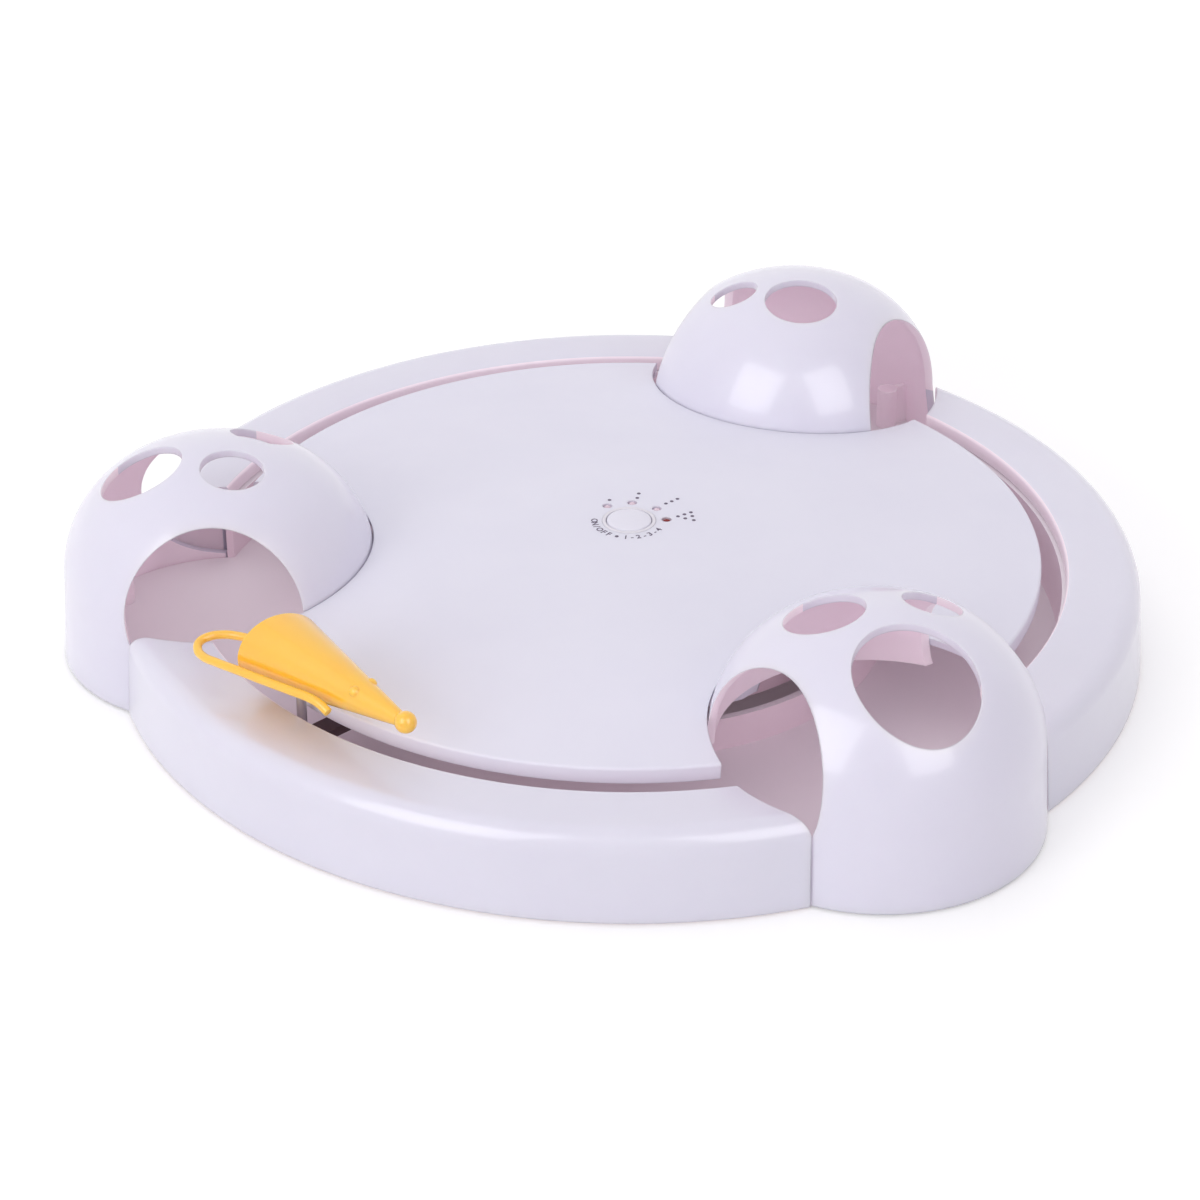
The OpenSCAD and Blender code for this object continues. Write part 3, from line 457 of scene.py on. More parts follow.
@dataclass(frozen=True)
class Finish:
    """How one kind of surface looks.

    The shade is the colour that the mottle runs to, and the sheen is the roughness. Faces that lie level
    and look up may have a painted lit colour of their own, for the light that falls on them from above.
    """

    name: str
    base: Colour
    shade: Colour
    sheen: float
    spread: float = 0.06
    grain: float = 900.0
    depth: float = 0.02
    marks: float = 0.3
    surface: Surface = Surface.MOULDED
    coat: float = 0.0
    # Emission strength: the lit LED's own light, and painted glow on the inside and tray plastic and the
    # mouse.
    glow: float = 0.0
    soak: float = 0.0
    soak_reach: Colour = SOAK_REACH
    soft_edge: float = 0.0
    # Painted lit tone for faces that look up.
    level: Colour | None = None

    def material(self) -> bpy.types.Material:
        """Return this finish's material, built the first time it is asked for."""
        known = bpy.data.materials.get(self.name)
        if known is not None:
            return known
        made = bpy.data.materials.new(self.name)
        made.use_nodes = True
        made.diffuse_color = (*self.base, 1.0)
        tree = made.node_tree
        shader = tree.nodes["Principled BSDF"]
        self.link_surface(tree, shader)
        if self.surface is Surface.METAL:
            shader.inputs["Metallic"].default_value = 1.0
        if self.surface is Surface.CLEAR:
            shader.inputs["Transmission Weight"].default_value = LENS_CLEARNESS
            shader.inputs["IOR"].default_value = LENS_INDEX
        if self.soak:
            shader.inputs["Subsurface Weight"].default_value = self.soak
            shader.inputs["Subsurface Radius"].default_value = self.soak_reach
            shader.inputs["Subsurface Scale"].default_value = SOAK_DEPTH * MM
        if self.coat:
            shader.inputs["Coat Weight"].default_value = self.coat
            shader.inputs["Coat Roughness"].default_value = COAT_SHEEN
        # Emission: the lit LED's own light, and painted glow on the inside and tray plastic and the mouse.
        if self.glow:
            shader.inputs["Emission Color"].default_value = (*self.base, 1.0)
            shader.inputs["Emission Strength"].default_value = self.glow
        return made

    def link_surface(self, tree: bpy.types.NodeTree, shader: bpy.types.Node) -> None:
        """Link grain, mottle and marks to a shader.

        Args:
            tree: The material's node tree.
            shader: Its Principled shader.
        """
        look = {
            "Base": (*self.base, 1.0), "Shade": (*self.shade, 1.0),
            "Sheen": self.sheen, "Spread": self.spread, "Grain": self.grain,
        }
        skin = node(tree, "ShaderNodeGroup", look, node_tree=skin_group())
        marks = node(tree, "ShaderNodeGroup", {"Amount": self.marks}, node_tree=marks_group())
        rough = node(
            tree, "ShaderNodeMath",
            {0: marks.outputs["Mask"], 1: MARK_ROUGHNESS, 2: skin.outputs["Roughness"]},
            operation="MULTIPLY_ADD",
        )
        bump = node(
            tree, "ShaderNodeBump",
            {"Height": skin.outputs["Height"], "Strength": GRAIN_STRENGTH, "Distance": self.depth * MM},
        )
        if self.soft_edge:
            edge = node(tree, "ShaderNodeBevel", {"Radius": self.soft_edge * MM}, samples=EDGE_SAMPLES)
            tree.links.new(edge.outputs["Normal"], bump.inputs["Normal"])
        colour = skin.outputs["Colour"]
        # Painted light: faces that look up are blended towards the level colour, a painted lit tone.
        if self.level is not None:
            facing = node(tree, "ShaderNodeNewGeometry").outputs["Normal"]
            rise = node(tree, "ShaderNodeSeparateXYZ", {0: facing}).outputs["Z"]
            colour = blended(tree, rise, colour, self.level)
        tree.links.new(colour, shader.inputs["Base Color"])
        tree.links.new(rough.outputs[0], shader.inputs["Roughness"])
        tree.links.new(bump.outputs["Normal"], shader.inputs["Normal"])


SHELL = Finish(
    "shell_white", (0.735, 0.722, 0.83), (0.715, 0.70, 0.81), 0.28, coat=0.6, soak=0.5, soft_edge=0.6
)
# Painted light: a pinker, faintly glowing copy of the shell plastic for inner and hidden faces, in place of
# light that comes through the thin walls and bounces inside.
SHELL_PAINTED_GLOW = Finish("shell_inside_painted_glow", (0.91, 0.78, 0.855), (0.89, 0.75, 0.835), 0.42, soak=0.5, glow=0.08)
DECK = Finish(
    "deck_white", (0.765, 0.755, 0.855), (0.745, 0.735, 0.84), 0.46, depth=0.03, soak=0.2, soft_edge=0.5
)
# Painted light: the tray plastic gets a pink colour and a faint glow in place of light that comes through
# the shell and bounces inside, and a painted lit tone on its floor faces.
TRAY_PAINTED_GLOW = Finish(
    "tray_painted_pink_glow", (0.90, 0.75, 0.825), (0.87, 0.71, 0.795), 0.45, glow=0.05, level=(0.83, 0.78, 0.82)
)
# Painted light: the small glow stands in for light that comes through the thin yellow plastic.
MOUSE = Finish(
    "mouse_yellow", (0.96, 0.55, 0.05), (0.93, 0.51, 0.042), 0.30, coat=0.8, glow=0.02,
    soak=0.5, soak_reach=(1.0, 0.6, 0.2), soft_edge=0.4,
)
BUTTON = Finish("button_white", (0.77, 0.757, 0.845), (0.75, 0.735, 0.825), 0.38, soft_edge=0.3)
SOFT_RING = Finish("button_soft_ring", (0.755, 0.735, 0.795), (0.735, 0.71, 0.77), 0.55)
INK = Finish("print_ink", (0.10, 0.075, 0.13), (0.13, 0.10, 0.16), 0.5, marks=0.1)
DARK = Finish("arm_dark", (0.085, 0.05, 0.055), (0.07, 0.042, 0.045), 0.5)
NYLON = Finish("nylon_mauve", (0.74, 0.58, 0.65), (0.70, 0.54, 0.61), 0.5)
STEEL = Finish("plain_steel", (0.56, 0.56, 0.58), (0.50, 0.50, 0.52), 0.30, surface=Surface.METAL)
BRASS = Finish("turned_brass", (0.70, 0.50, 0.20), (0.62, 0.43, 0.16), 0.32, surface=Surface.METAL)
RUBBER = Finish("foot_rubber", (0.035, 0.033, 0.035), (0.05, 0.047, 0.05), 0.75, grain=1500.0)
SLEEVE = Finish("cell_sleeve", (0.045, 0.05, 0.06), (0.055, 0.06, 0.07), 0.32)
BOARD = Finish("board_green", (0.025, 0.13, 0.05), (0.02, 0.10, 0.04), 0.35)
CLEAR_LENS = Finish("lens_clear", (0.78, 0.60, 0.68), (0.74, 0.55, 0.64), 0.20, soak=0.5)
LIT_LENS = Finish(
    "lens_red", (0.34, 0.01, 0.02), (0.30, 0.008, 0.016), 0.16, surface=Surface.CLEAR, glow=0.12
)


def paint_hidden_glow(shape: bmesh.types.BMesh, test: float = -0.4) -> None:
    """Give faces that look down or towards the turning axis the second finish, the painted pink glow.

    Args:
        shape: Mesh in the CAD frame.
        test: How far down or inward a face has to look.
    """
    for face in shape.faces:
        outward = face.calc_center_median()
        outward.z = 0
        is_hidden = min(face.normal.z, face.normal.dot(outward.normalized())) < test
        face.material_index = 1 if is_hidden else 0


def finished(
    shape: bmesh.types.BMesh, name: str, finishes: list[Finish], body: str,
    stands_for: tuple[str, ...] = (), crease: float = 32.0,
) -> bpy.types.Object:
    """Make a finished piece of a mesh.

    Args:
        shape: The mesh in the CAD frame; it is freed.
        name: Name of the piece.
        finishes: Finishes in the order of the faces' material numbers.
        body: CAD body that the piece moves with.
        stands_for: CAD nodes that the piece replaces.
        crease: Edges sharper than this angle in degrees stay crisp.

    Returns:
        The piece's object.
    """
    mesh = bpy.data.meshes.new(name)
    shape.to_mesh(mesh)
    shape.free()
    for finish in finishes:
        mesh.materials.append(finish.material())
    mesh.shade_smooth()
    mesh.set_sharp_from_angle(angle=math.radians(crease))
    item = bpy.data.objects.new(name, mesh)
    bpy.context.scene.collection.objects.link(item)
    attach(item, body)
    if stands_for:
        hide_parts(*stands_for)
    LOG.info("%s: %d faces on %s", name, len(mesh.polygons), body)
    return item


@dataclass
class Layout:
    """Where the main forms stand on the toy, in millimetres and degrees."""

    dome_turn: float = 63.1
    dome_step: float = 120.0
    dome_ring_r: float = 130.8
    dome_foot_r: float = 51.5
    shoulder_r: float = 49.7
    shoulder_z: float = 27.0
    seam: float = 0.6
    base_z: float = 0.8
    floor_z: float = 3.0
    shell_inner_r: float = 141.5
    boss_r: float = 3.5
    seat_low: float = -5.0
    seat_high: float = 40.0

    def at_dome(self, place: Place) -> Matrix:
        """Return the place of a dome, with X outward from the turning axis."""
        return turned(self.dome_turn + self.dome_step * place.value) @ moved(self.dome_ring_r, 0, 0)

    def skirt_r(self, z: float) -> float:
        """Return the radius of a dome's leaning skirt at a height."""
        lean = (self.dome_foot_r - self.shoulder_r) / (self.shoulder_z - self.base_z)
        return self.dome_foot_r - lean * (z - self.base_z)

    def seat(self, place: Place, grow: float = 0.0) -> bmesh.types.BMesh:
        """Return the leaning cone that a dome stands in.

        Args:
            place: The dome.
            grow: How much wider the cone is than the seat.

        Returns:
            A closed cone in the CAD frame.
        """
        low, high = self.seat_low, self.seat_high
        wide, narrow = (self.skirt_r(z) + self.seam + grow for z in (low, high))
        cone = bmesh.new()
        bmesh.ops.create_cone(
            cone, cap_ends=True, segments=SEAT_STEPS, radius1=wide * MM, radius2=narrow * MM,
            depth=(high - low) * MM, matrix=self.at_dome(place) @ moved(0, 0, (low + high) / 2),
        )
        return cone


LAYOUT = Layout()


@dataclass
class Dome:
    """A dome with a tunnel for the mouse and round holes for paws."""

    place: Place
    holes: list[tuple[float, float, float]]
    top: float = 69.3
    crown_r: float = 62.15
    wall: float = 2.4
    tunnel_r: float = 27.5
    tunnel_z: float = 32.0
    sill_z: float = 25.0
    below: float = 10.0
    reach: float = 200.0
    crown_steps: int = 12
    knuckle_steps: int = 24
    skirt_steps: int = 8
    tunnel_steps: int = 160
    track_steps: int = 720
    hole_steps: int = 128
    star_z: float = 20.0
    inside_test: float = -0.5
    inside_slack: float = 0.1
    screw_out: float = 34.0
    screw_side: float = 22.0
    boss_top: float = 17.5
    rib: float = 2.0

    def skin(self, inset: float) -> list[Point]:
        """Return one side of the wall's section, from the axis down to the foot.

        Args:
            inset: How far it lies inside the outer face.

        Returns:
            Points of the crown, the knuckle and the skirt.
        """
        shoulder_r, shoulder_z = LAYOUT.shoulder_r, LAYOUT.shoulder_z
        crown_z = self.top - self.crown_r
        drop = shoulder_z - crown_z
        knuckle_r = (self.crown_r**2 - shoulder_r**2 - drop**2) / (2 * (self.crown_r - shoulder_r))
        knuckle_x = shoulder_r - knuckle_r
        join = math.degrees(math.atan2(drop, knuckle_x))
        points = [(0.0, self.top - inset)]
        points += arc((0, crown_z), self.crown_r - inset, 90, join, self.crown_steps)[1:]
        points += arc((knuckle_x, shoulder_z), knuckle_r - inset, join, 0, self.knuckle_steps)[1:]
        for step in range(1, self.skirt_steps + 1):
            z = shoulder_z + (LAYOUT.base_z - shoulder_z) * step / self.skirt_steps
            points.append((LAYOUT.skirt_r(z) - inset, z))
        return points

    def tools(self) -> list[bmesh.types.BMesh]:
        """Return the shapes that are cut from the dome, about its own centre."""
        along = moved(0, 0, self.tunnel_z) @ Matrix.Rotation(math.pi / 2, 4, "X")
        track = moved(-LAYOUT.dome_ring_r, 0, 0)
        shapes = [
            rod(self.tunnel_r, -self.reach, self.reach, self.tunnel_steps, along),
            rod(LAYOUT.shell_inner_r, -self.below, self.sill_z, self.track_steps, track),
        ]
        for out, side, radius in self.holes:
            shapes.append(rod(radius, self.tunnel_z, self.reach, self.hole_steps, moved(out, side, 0)))
        return shapes

    def bosses(self) -> list[bmesh.types.BMesh]:
        """Return the screw bosses and the ribs that join them to the wall, about the dome's centre."""
        reach = math.hypot(self.screw_out, self.screw_side)
        length = LAYOUT.shoulder_r - self.wall / 2 - reach
        height = self.boss_top - LAYOUT.floor_z
        shapes = []
        for side in (-1, 1):
            place = moved(self.screw_out, side * self.screw_side, 0)
            shapes.append(rod(LAYOUT.boss_r, LAYOUT.floor_z, self.boss_top, SMALL_STEPS, place))
            way = turned(math.degrees(math.atan2(side * self.screw_side, self.screw_out)))
            middle = moved(reach + length / 2, 0, LAYOUT.floor_z + height / 2)
            sizes = Matrix.Diagonal((length * MM, self.rib * MM, height * MM, 1))
            rib = bmesh.new()
            bmesh.ops.create_cube(rib, size=1.0, matrix=way @ middle @ sizes)
            shapes.append(rib)
        return shapes

    def paint_inside_glow(self, shape: bmesh.types.BMesh) -> None:
        """Give the faces of the inner wall and the bosses the second finish, the painted pink glow."""
        heart = Vector((0, 0, self.star_z * MM))
        for face in shape.faces:
            middle = face.calc_center_median()
            way = (middle - heart).normalized()
            room = LAYOUT.skirt_r(middle.z / MM) - self.wall - self.inside_slack
            is_boss = middle.z < self.boss_top * MM + WELD and middle.xy.length < room * MM
            face.material_index = 1 if is_boss or face.normal.dot(way) < self.inside_test else 0

    def build(self) -> None:
        """Build the dome in its place."""
        shell = spun(self.skin(0) + self.skin(self.wall)[::-1], DOME_STEPS)
        shell = combined(shell, self.tools(), Cut.AWAY)
        shell = combined(shell, self.bosses(), Cut.JOIN)
        self.paint_inside_glow(shell)
        bmesh.ops.transform(shell, matrix=LAYOUT.at_dome(self.place), verts=shell.verts[:])
        word = self.place.name.lower()
        finished(
            shell, f"dome_shell_{word}", [SHELL, SHELL_PAINTED_GLOW], "base", (f"dome_{word}",)
        )


@dataclass
class Rim:
    """A segment of the outer ring, between one dome and the next."""

    order: int
    node_name: str
    outer_r: float = 165.0
    inner_r: float = 139.8
    height: float = 29.1
    draft: float = 1.7
    corner: float = 6.7
    wall: float = 2.2
    lip_z: float = 24.2
    inner_round: float = 1.0
    screw_r: float = 149.9
    screw_turn: float = 24.0
    end_half: float = 25.0
    steps: int = 180
    end_steps: int = 40
    lip_steps: int = 4
    corner_steps: int = 12
    end_corner_steps: int = 8

    def outline(self) -> list[Point]:
        """Return the section of the ring's wall."""
        edge = (self.outer_r - self.draft - self.corner, self.height - self.corner)
        brink = (self.inner_r + self.inner_round, self.height - self.inner_round)
        inside = self.inner_r + self.wall
        foot = LAYOUT.base_z
        points = [(self.inner_r, self.lip_z)]
        points += arc(brink, self.inner_round, 180, 90, self.lip_steps)
        points += arc(edge, self.corner, 90, 0, self.corner_steps)
        points += [(self.outer_r, foot), (self.outer_r - self.wall, foot)]
        points += arc(edge, self.corner - self.wall, 0, 90, self.corner_steps)
        points += [(inside, self.height - self.wall), (inside, self.lip_z)]
        return points

    def end_wall(self, turn: float, dome: Place) -> bmesh.types.BMesh:
        """Return the wall that closes one end of the segment.

        Args:
            turn: Direction in which the wall stands.
            dome: The dome that it faces.

        Returns:
            A curved wall, cut to the inside of the ring.
        """
        edge = (self.outer_r - self.draft - self.corner, self.height - self.corner)
        fill = [(self.inner_r + self.wall / 2, self.lip_z + self.wall)]
        fill += [(self.inner_r + self.wall / 2, self.height - self.wall / 2)]
        fill += arc(edge, self.corner - self.wall / 2, 90, 0, self.end_corner_steps)
        fill += [(self.outer_r - self.wall / 2, LAYOUT.base_z)]
        fill += [(LAYOUT.shell_inner_r, LAYOUT.base_z), (LAYOUT.shell_inner_r, self.lip_z + self.wall)]
        block = spun(fill, self.end_steps, turn - self.end_half, 2 * self.end_half)
        return combined(block, [LAYOUT.seat(dome, self.wall)], Cut.BOTH)

    def build(self) -> None:
        """Build the segment in its place."""
        start = LAYOUT.dome_turn + LAYOUT.dome_step * self.order
        ends = [Place((self.order + k) % len(Place)) for k in (0, 1)]
        shell = spun(self.outline(), self.steps, start, LAYOUT.dome_step)
        walls = [self.end_wall(start + LAYOUT.dome_step * k, dome) for k, dome in enumerate(ends)]
        middle = start + LAYOUT.dome_step / 2
        for side in (-1, 1):
            place = turned(middle + side * self.screw_turn) @ moved(self.screw_r, 0, 0)
            top = self.height - self.wall / 2
            walls.append(rod(LAYOUT.boss_r, LAYOUT.floor_z, top, SMALL_STEPS, place))
        shell = combined(shell, walls, Cut.JOIN)
        shell = combined(shell, [LAYOUT.seat(dome) for dome in ends], Cut.AWAY)
        paint_hidden_glow(shell)
        finished(
            shell, f"{self.node_name}_shell", [SHELL, SHELL_PAINTED_GLOW], "base",
            (self.node_name,),
        )


@dataclass
class Deck:
    """The crowned deck with its notches, light holes and the upper drum wall."""

    radius: float = 131.6
    top: float = 39.7
    ball_r: float = 1011.2
    side: float = 5.0
    edge_z: float = 31.1
    edge_round: float = 0.9
    wall: float = 2.4
    drum_r: float = 83.0
    drum_wall: float = 2.2
    drum_low: float = 19.5
    notch_gap: float = 0.5
    under_test: float = -0.3
    hole_r: float = 8.65
    light_hole_r: float = 1.6
    light_ring_r: float = 12.0
    light_turns: tuple[float, ...] = (125.0, 84.6, 41.5, 3.0)
    light_low: float = 30.0
    light_high: float = 50.0
    edge_start: float = 85.0
    steps: int = 360
    top_steps: int = 16
    edge_steps: int = 5
    eave_steps: int = 4
    room_steps: int = 6

    def height(self, radius: float, inset: float = 0.0) -> float:
        """Return the deck's height at a radius, or of its underside."""
        return self.top - self.ball_r + math.sqrt((self.ball_r - inset) ** 2 - radius**2)

    def crown(self, start: float, stop: float, inset: float, steps: int) -> list[Point]:
        """Return points along the crowned top or its underside.

        Args:
            start: First radius.
            stop: Last radius.
            inset: How far they lie below the top.
            steps: Number of steps.

        Returns:
            Points as radius and height.
        """
        radii = [start + (stop - start) * step / steps for step in range(steps + 1)]
        return [(radius, self.height(radius, inset)) for radius in radii]

    def outline(self) -> list[Point]:
        """Return the deck's section."""
        brink = self.radius - self.edge_round
        inner = self.radius - self.wall
        foot = self.edge_z - self.side
        drum_in = self.drum_r - self.drum_wall
        turn = (brink, self.height(brink) - self.edge_round)
        points = self.crown(self.hole_r, brink, 0, self.top_steps)
        points += arc(turn, self.edge_round, self.edge_start, 0, self.edge_steps)
        points += [(self.radius, foot), (inner, foot)]
        points += self.crown(inner, self.drum_r, self.wall, self.eave_steps)
        points += [(self.drum_r, self.drum_low), (drum_in, self.drum_low)]
        points += self.crown(drum_in, self.hole_r, self.wall, self.room_steps)
        return points

    def notch(self, place: Place) -> bmesh.types.BMesh:
        """Return the room that a dome and its gap take from the deck."""
        room = spun(Dome(place, []).skin(-self.notch_gap) + [(0.0, LAYOUT.base_z)], DOME_STEPS)
        bmesh.ops.transform(room, matrix=LAYOUT.at_dome(place), verts=room.verts[:])
        return room

    def paint_under_glow(self, shape: bmesh.types.BMesh) -> None:
        """Give the deck's underside the second finish, the painted pink glow."""
        for face in shape.faces:
            face.material_index = 1 if face.normal.z < self.under_test else 0

    def build(self) -> None:
        """Build the deck with its notches and light holes."""
        shell = spun(self.outline(), self.steps)
        tools = [self.notch(place) for place in Place]
        for turn in self.light_turns:
            place = turned(turn) @ moved(self.light_ring_r, 0, 0)
            tools.append(rod(self.light_hole_r, self.light_low, self.light_high, SMALL_STEPS, place))
        shell = combined(shell, tools, Cut.AWAY)
        self.paint_under_glow(shell)
        finished(shell, "deck_shell", [DECK, SHELL_PAINTED_GLOW], "base", ("deck_cover",))


@dataclass
class Button:
    """The push button and the soft ring round it."""

    radius: float = 7.2
    edge_round: float = 0.7
    crown: float = 0.5
    flange: float = 0.8
    ring_in: float = 7.45
    ring_round: float = 0.3
    edge_steps: int = 5
    dish_steps: int = 10
    ring_steps: int = 4

    def build_cap(self) -> None:
        """Build the crowned cap on its flange."""
        low, high = (corner.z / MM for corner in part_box("button_cap"))
        flange_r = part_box("button_cap")[1].x / MM
        brink = self.radius - self.edge_round
        dish = (self.crown**2 + brink**2) / (2 * self.crown)
        reach = math.degrees(math.asin(brink / dish))
        step = low + self.flange
        outline = [(0.0, low), (flange_r, low), (flange_r, step), (self.radius, step)]
        turn = (brink, high - self.crown - self.edge_round)
        outline += arc(turn, self.edge_round, 0, 90, self.edge_steps)
        outline += arc((0, high - dish), dish, 90 - reach, 90, self.dish_steps)[1:]
        outline[-1] = (0.0, high)
        cap = spun(outline, CAP_STEPS)
        finished(cap, "button_top", [BUTTON], "button", ("button_cap",))

    def build_ring(self) -> None:
        """Build the soft ring in the deck's hole."""
        lowest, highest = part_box("button_bezel")
        low, high, outer = lowest.z / MM, highest.z / MM, highest.x / MM
        soft = self.ring_round
        outline = [(self.ring_in, low), (outer, low)]
        outline += arc((outer - soft, high - soft), soft, 0, 90, self.ring_steps)
        outline += arc((self.ring_in + soft, high - soft), soft, 90, 180, self.ring_steps)
        ring = spun(outline, CAP_STEPS)
        finished(ring, "button_ring", [SOFT_RING], "base", ("button_bezel",))

    def build(self) -> None:
        """Build cap and ring."""
        self.build_cap()
        self.build_ring()


@dataclass
class Mouse:
    """The mouse with its ears and nose, and its looped tail."""

    turn: float = -136.3
    track_r: float = 135.7
    height: float = 44.8
    pitch: float = 0.6
    rear_r: float = 13.1
    rear_round: float = 0.9
    rear_back: float = 9.0
    rear_yaw: float = 18.8
    rear_tilt: float = -9.5
    tip_ahead: float = 45.4
    tip_r: float = 2.2
    nose_r: float = 3.3
    nose_ahead: float = 48.04
    ear_r: float = 1.8
    ear_ahead: float = 29.5
    ear_angle: float = 42.0
    ear_out: float = 4.49
    tail_r: float = 1.35
    post_hole_r: float = 1.53
    post_play: float = 0.06
    flat_angle: float = 10.0
    crease: float = 28.0
    bead_steps: int = 5
    tip_steps: int = 6
    nose_steps: int = 48
    tail_sides: int = 6
    tail_steps: int = 10
    tail: list[tuple[float, float, float]] = field(default_factory=lambda: [
        (0, -10.2, 45), (1.2, -17, 44.4), (3, -24, 44), (6, -28.3, 44), (9.5, -30.6, 43.8),
        (12.8, -31, 43.2), (15.2, -29, 42.5), (16.3, -25.3, 42.2), (16.1, -19, 42.7),
        (15.1, -11.5, 43.2), (13.3, 0, 43.6), (11.4, 10, 43.8), (10.1, 17, 43.9), (9.6, 21, 43.4),
        (9.3, 24.5, 42),
    ])

    @property
    def stand(self) -> Matrix:
        """Return the place over the track, with X outward and Y ahead."""
        return turned(self.turn) @ moved(self.track_r, 0, 0)

    def rings(self) -> list[tuple[float, Matrix]]:
        """Return the circles of the body, from the flat rear to the tip."""
        rear = (
            moved(0, -self.rear_back, 0) @ turned(-self.rear_yaw)
            @ Matrix.Rotation(math.radians(90 + self.rear_tilt), 4, "X")
        )
        tip = moved(0, self.tip_ahead, 0) @ Matrix.Rotation(math.pi / 2, 4, "X")
        edge = (self.rear_r - self.rear_round, 0)
        bead = arc(edge, self.rear_round, 90, self.flat_angle, self.bead_steps)
        rings = [(radius, rear @ moved(0, 0, z)) for radius, z in bead]
        for radius, z in arc((0, 0), self.tip_r, self.flat_angle, 90 - self.flat_angle, self.tip_steps):
            rings.append((radius, tip @ moved(0, 0, -z)))
        return rings

    def build_body(self) -> None:
        """Build the body with ears, nose and the hole for its post."""
        body = lofted(self.rings(), CAP_STEPS)
        extras = [ball(self.nose_r, moved(0, self.nose_ahead, 0), self.nose_steps)]
        for side in (-1, 1):
            lean = Matrix.Rotation(math.radians(side * self.ear_angle), 4, "Y")
            extras.append(ball(self.ear_r, lean @ moved(0, self.ear_ahead, self.ear_out)))
        body = combined(body, extras, Cut.JOIN)
        raised = moved(0, 0, self.height) @ Matrix.Rotation(math.radians(self.pitch), 4, "X")
        bmesh.ops.transform(body, matrix=raised, verts=body.verts[:])
        hole = rod(self.post_hole_r, 0, self.height + self.post_play, SMALL_STEPS)
        body = combined(body, [hole], Cut.AWAY)
        bmesh.ops.transform(body, matrix=self.stand, verts=body.verts[:])
        finished(
            body, "mouse_shell", [MOUSE], "rotor", ("mouse_body",), crease=self.crease
        )

    def build_tail(self) -> None:
        """Build the tail as a tube along its route."""
        curve = bpy.data.curves.new("tail_route", "CURVE")
        curve.dimensions = "3D"
        curve.bevel_depth = self.tail_r * MM
        curve.bevel_resolution = self.tail_sides
        curve.resolution_u = self.tail_steps
        curve.use_fill_caps = True
        spline = curve.splines.new("BEZIER")
        spline.bezier_points.add(len(self.tail) - 1)
        for knot, (out, ahead, z) in zip(spline.bezier_points, self.tail):
            knot.co = self.stand @ Vector((out * MM, ahead * MM, z * MM))
            knot.handle_left_type = "AUTO"
            knot.handle_right_type = "AUTO"
        tube = traced(curve)
        bmesh.ops.remove_doubles(tube, verts=tube.verts[:], dist=WELD)
        bmesh.ops.recalc_face_normals(tube, faces=tube.faces[:])
        finished(tube, "mouse_tail_tube", [MOUSE], "rotor", ("mouse_tail",))

    def build(self) -> None:
        """Build body and tail."""
        self.build_body()
        self.build_tail()


@dataclass
class Print:
    """Dots for the timer lights and the lettering round the button."""

    deck: Deck
    dot_r: float = 0.62
    film: float = 0.05
    bold: float = 0.05
    letter_ring_r: float = 11.2
    letter_size: float = 3.0
    letter_steps: int = 3
    dot_sides: int = 20
    dots: list[Point] = field(default_factory=lambda: [
        (-6.2, 13.7), (2.8, 15.0), (3.3, 18.1), (12.0, 11.2), (13.9, 12.8), (15.8, 14.5),
        (15.7, 2.6), (17.8, 4.0), (18.0, 1.3), (19.9, 5.4), (20.3, 2.9), (20.7, 0.2),
    ])
    words: list[tuple[str, float, float]] = field(default_factory=lambda: [
        ("ON/OFF", 180.0, 234.0), ("1-2-3-4", 264.0, 327.0),
    ])
    stop_turn: float = 249.0

    def dot(self, x: float, y: float) -> bmesh.types.BMesh:
        """Return one printed dot on the deck."""
        level = self.deck.height(math.hypot(x, y))
        return rod(self.dot_r, level - self.film, level + self.film, self.dot_sides, moved(x, y, 0))

    def letter(self, sign: str, turn: float) -> bmesh.types.BMesh:
        """Return one printed letter that reads from inside the ring.

        Args:
            sign: The letter.
            turn: Direction of its place from the button.

        Returns:
            A thin mesh on the deck.
        """
        text = bpy.data.curves.new("letter", "FONT")
        text.body = sign
        text.size = self.letter_size * MM
        text.align_x = "CENTER"
        text.align_y = "CENTER"
        text.extrude = self.film * MM
        text.offset = self.bold * MM
        text.resolution_u = self.letter_steps
        shape = traced(text)
        level = self.deck.height(self.letter_ring_r)
        upright = turned(turn) @ moved(self.letter_ring_r, 0, level) @ turned(90)
        bmesh.ops.transform(shape, matrix=upright, verts=shape.verts[:])
        return shape

    def build(self) -> None:
        """Build the dots as one piece and the lettering as another."""
        angle = math.radians(self.stop_turn)
        full_stop = (self.letter_ring_r * math.cos(angle), self.letter_ring_r * math.sin(angle))
        dots = merged([self.dot(x, y) for x, y in [*self.dots, full_stop]])
        finished(dots, "deck_dots", [INK], "base")
        letters = []
        for word, start, stop in self.words:
            for number, sign in enumerate(word):
                turn = start + (stop - start) * number / (len(word) - 1)
                letters.append(self.letter(sign, turn))
        finished(merged(letters), "deck_letters", [INK], "base")


@dataclass
class Insides:
    """The CAD pieces that keep their own shape, with the finish of each."""

    dress: dict[Finish, tuple[str, ...]] = field(default_factory=lambda: {
        TRAY_PAINTED_GLOW: ("base_tray", "battery_door"),
        DARK: ("carrier_arm", "tact_switch", "switch_plunger"),
        NYLON: ("deck_hub", "centre_post", "rotor_plate", "first_gear", "second_gear"),
        STEEL: ("post_screw", "retaining_ring", "drive_motor", "gear_pins", "contact_plates",
                "contact_leaves", "door_screws", "shell_screws", "board_screws", "hub_screws",
                "arm_screws", "mouse_post", "motor_shaft"),
        BRASS: ("thrust_washer", "motor_pinion"),
        RUBBER: ("rubber_feet",),
        SLEEVE: ("batteries",),
        BOARD: ("circuit_board",),
        CLEAR_LENS: ("clear_leds",),
        LIT_LENS: ("lit_led",),
    })

    def build(self) -> None:
        """Give each CAD piece its finish."""
        for finish, names in self.dress.items():
            for name in names:
                for slot in bpy.data.objects[name].material_slots:
                    slot.material = finish.material()
                LOG.info("%s: dressed in %s", name, finish.name)


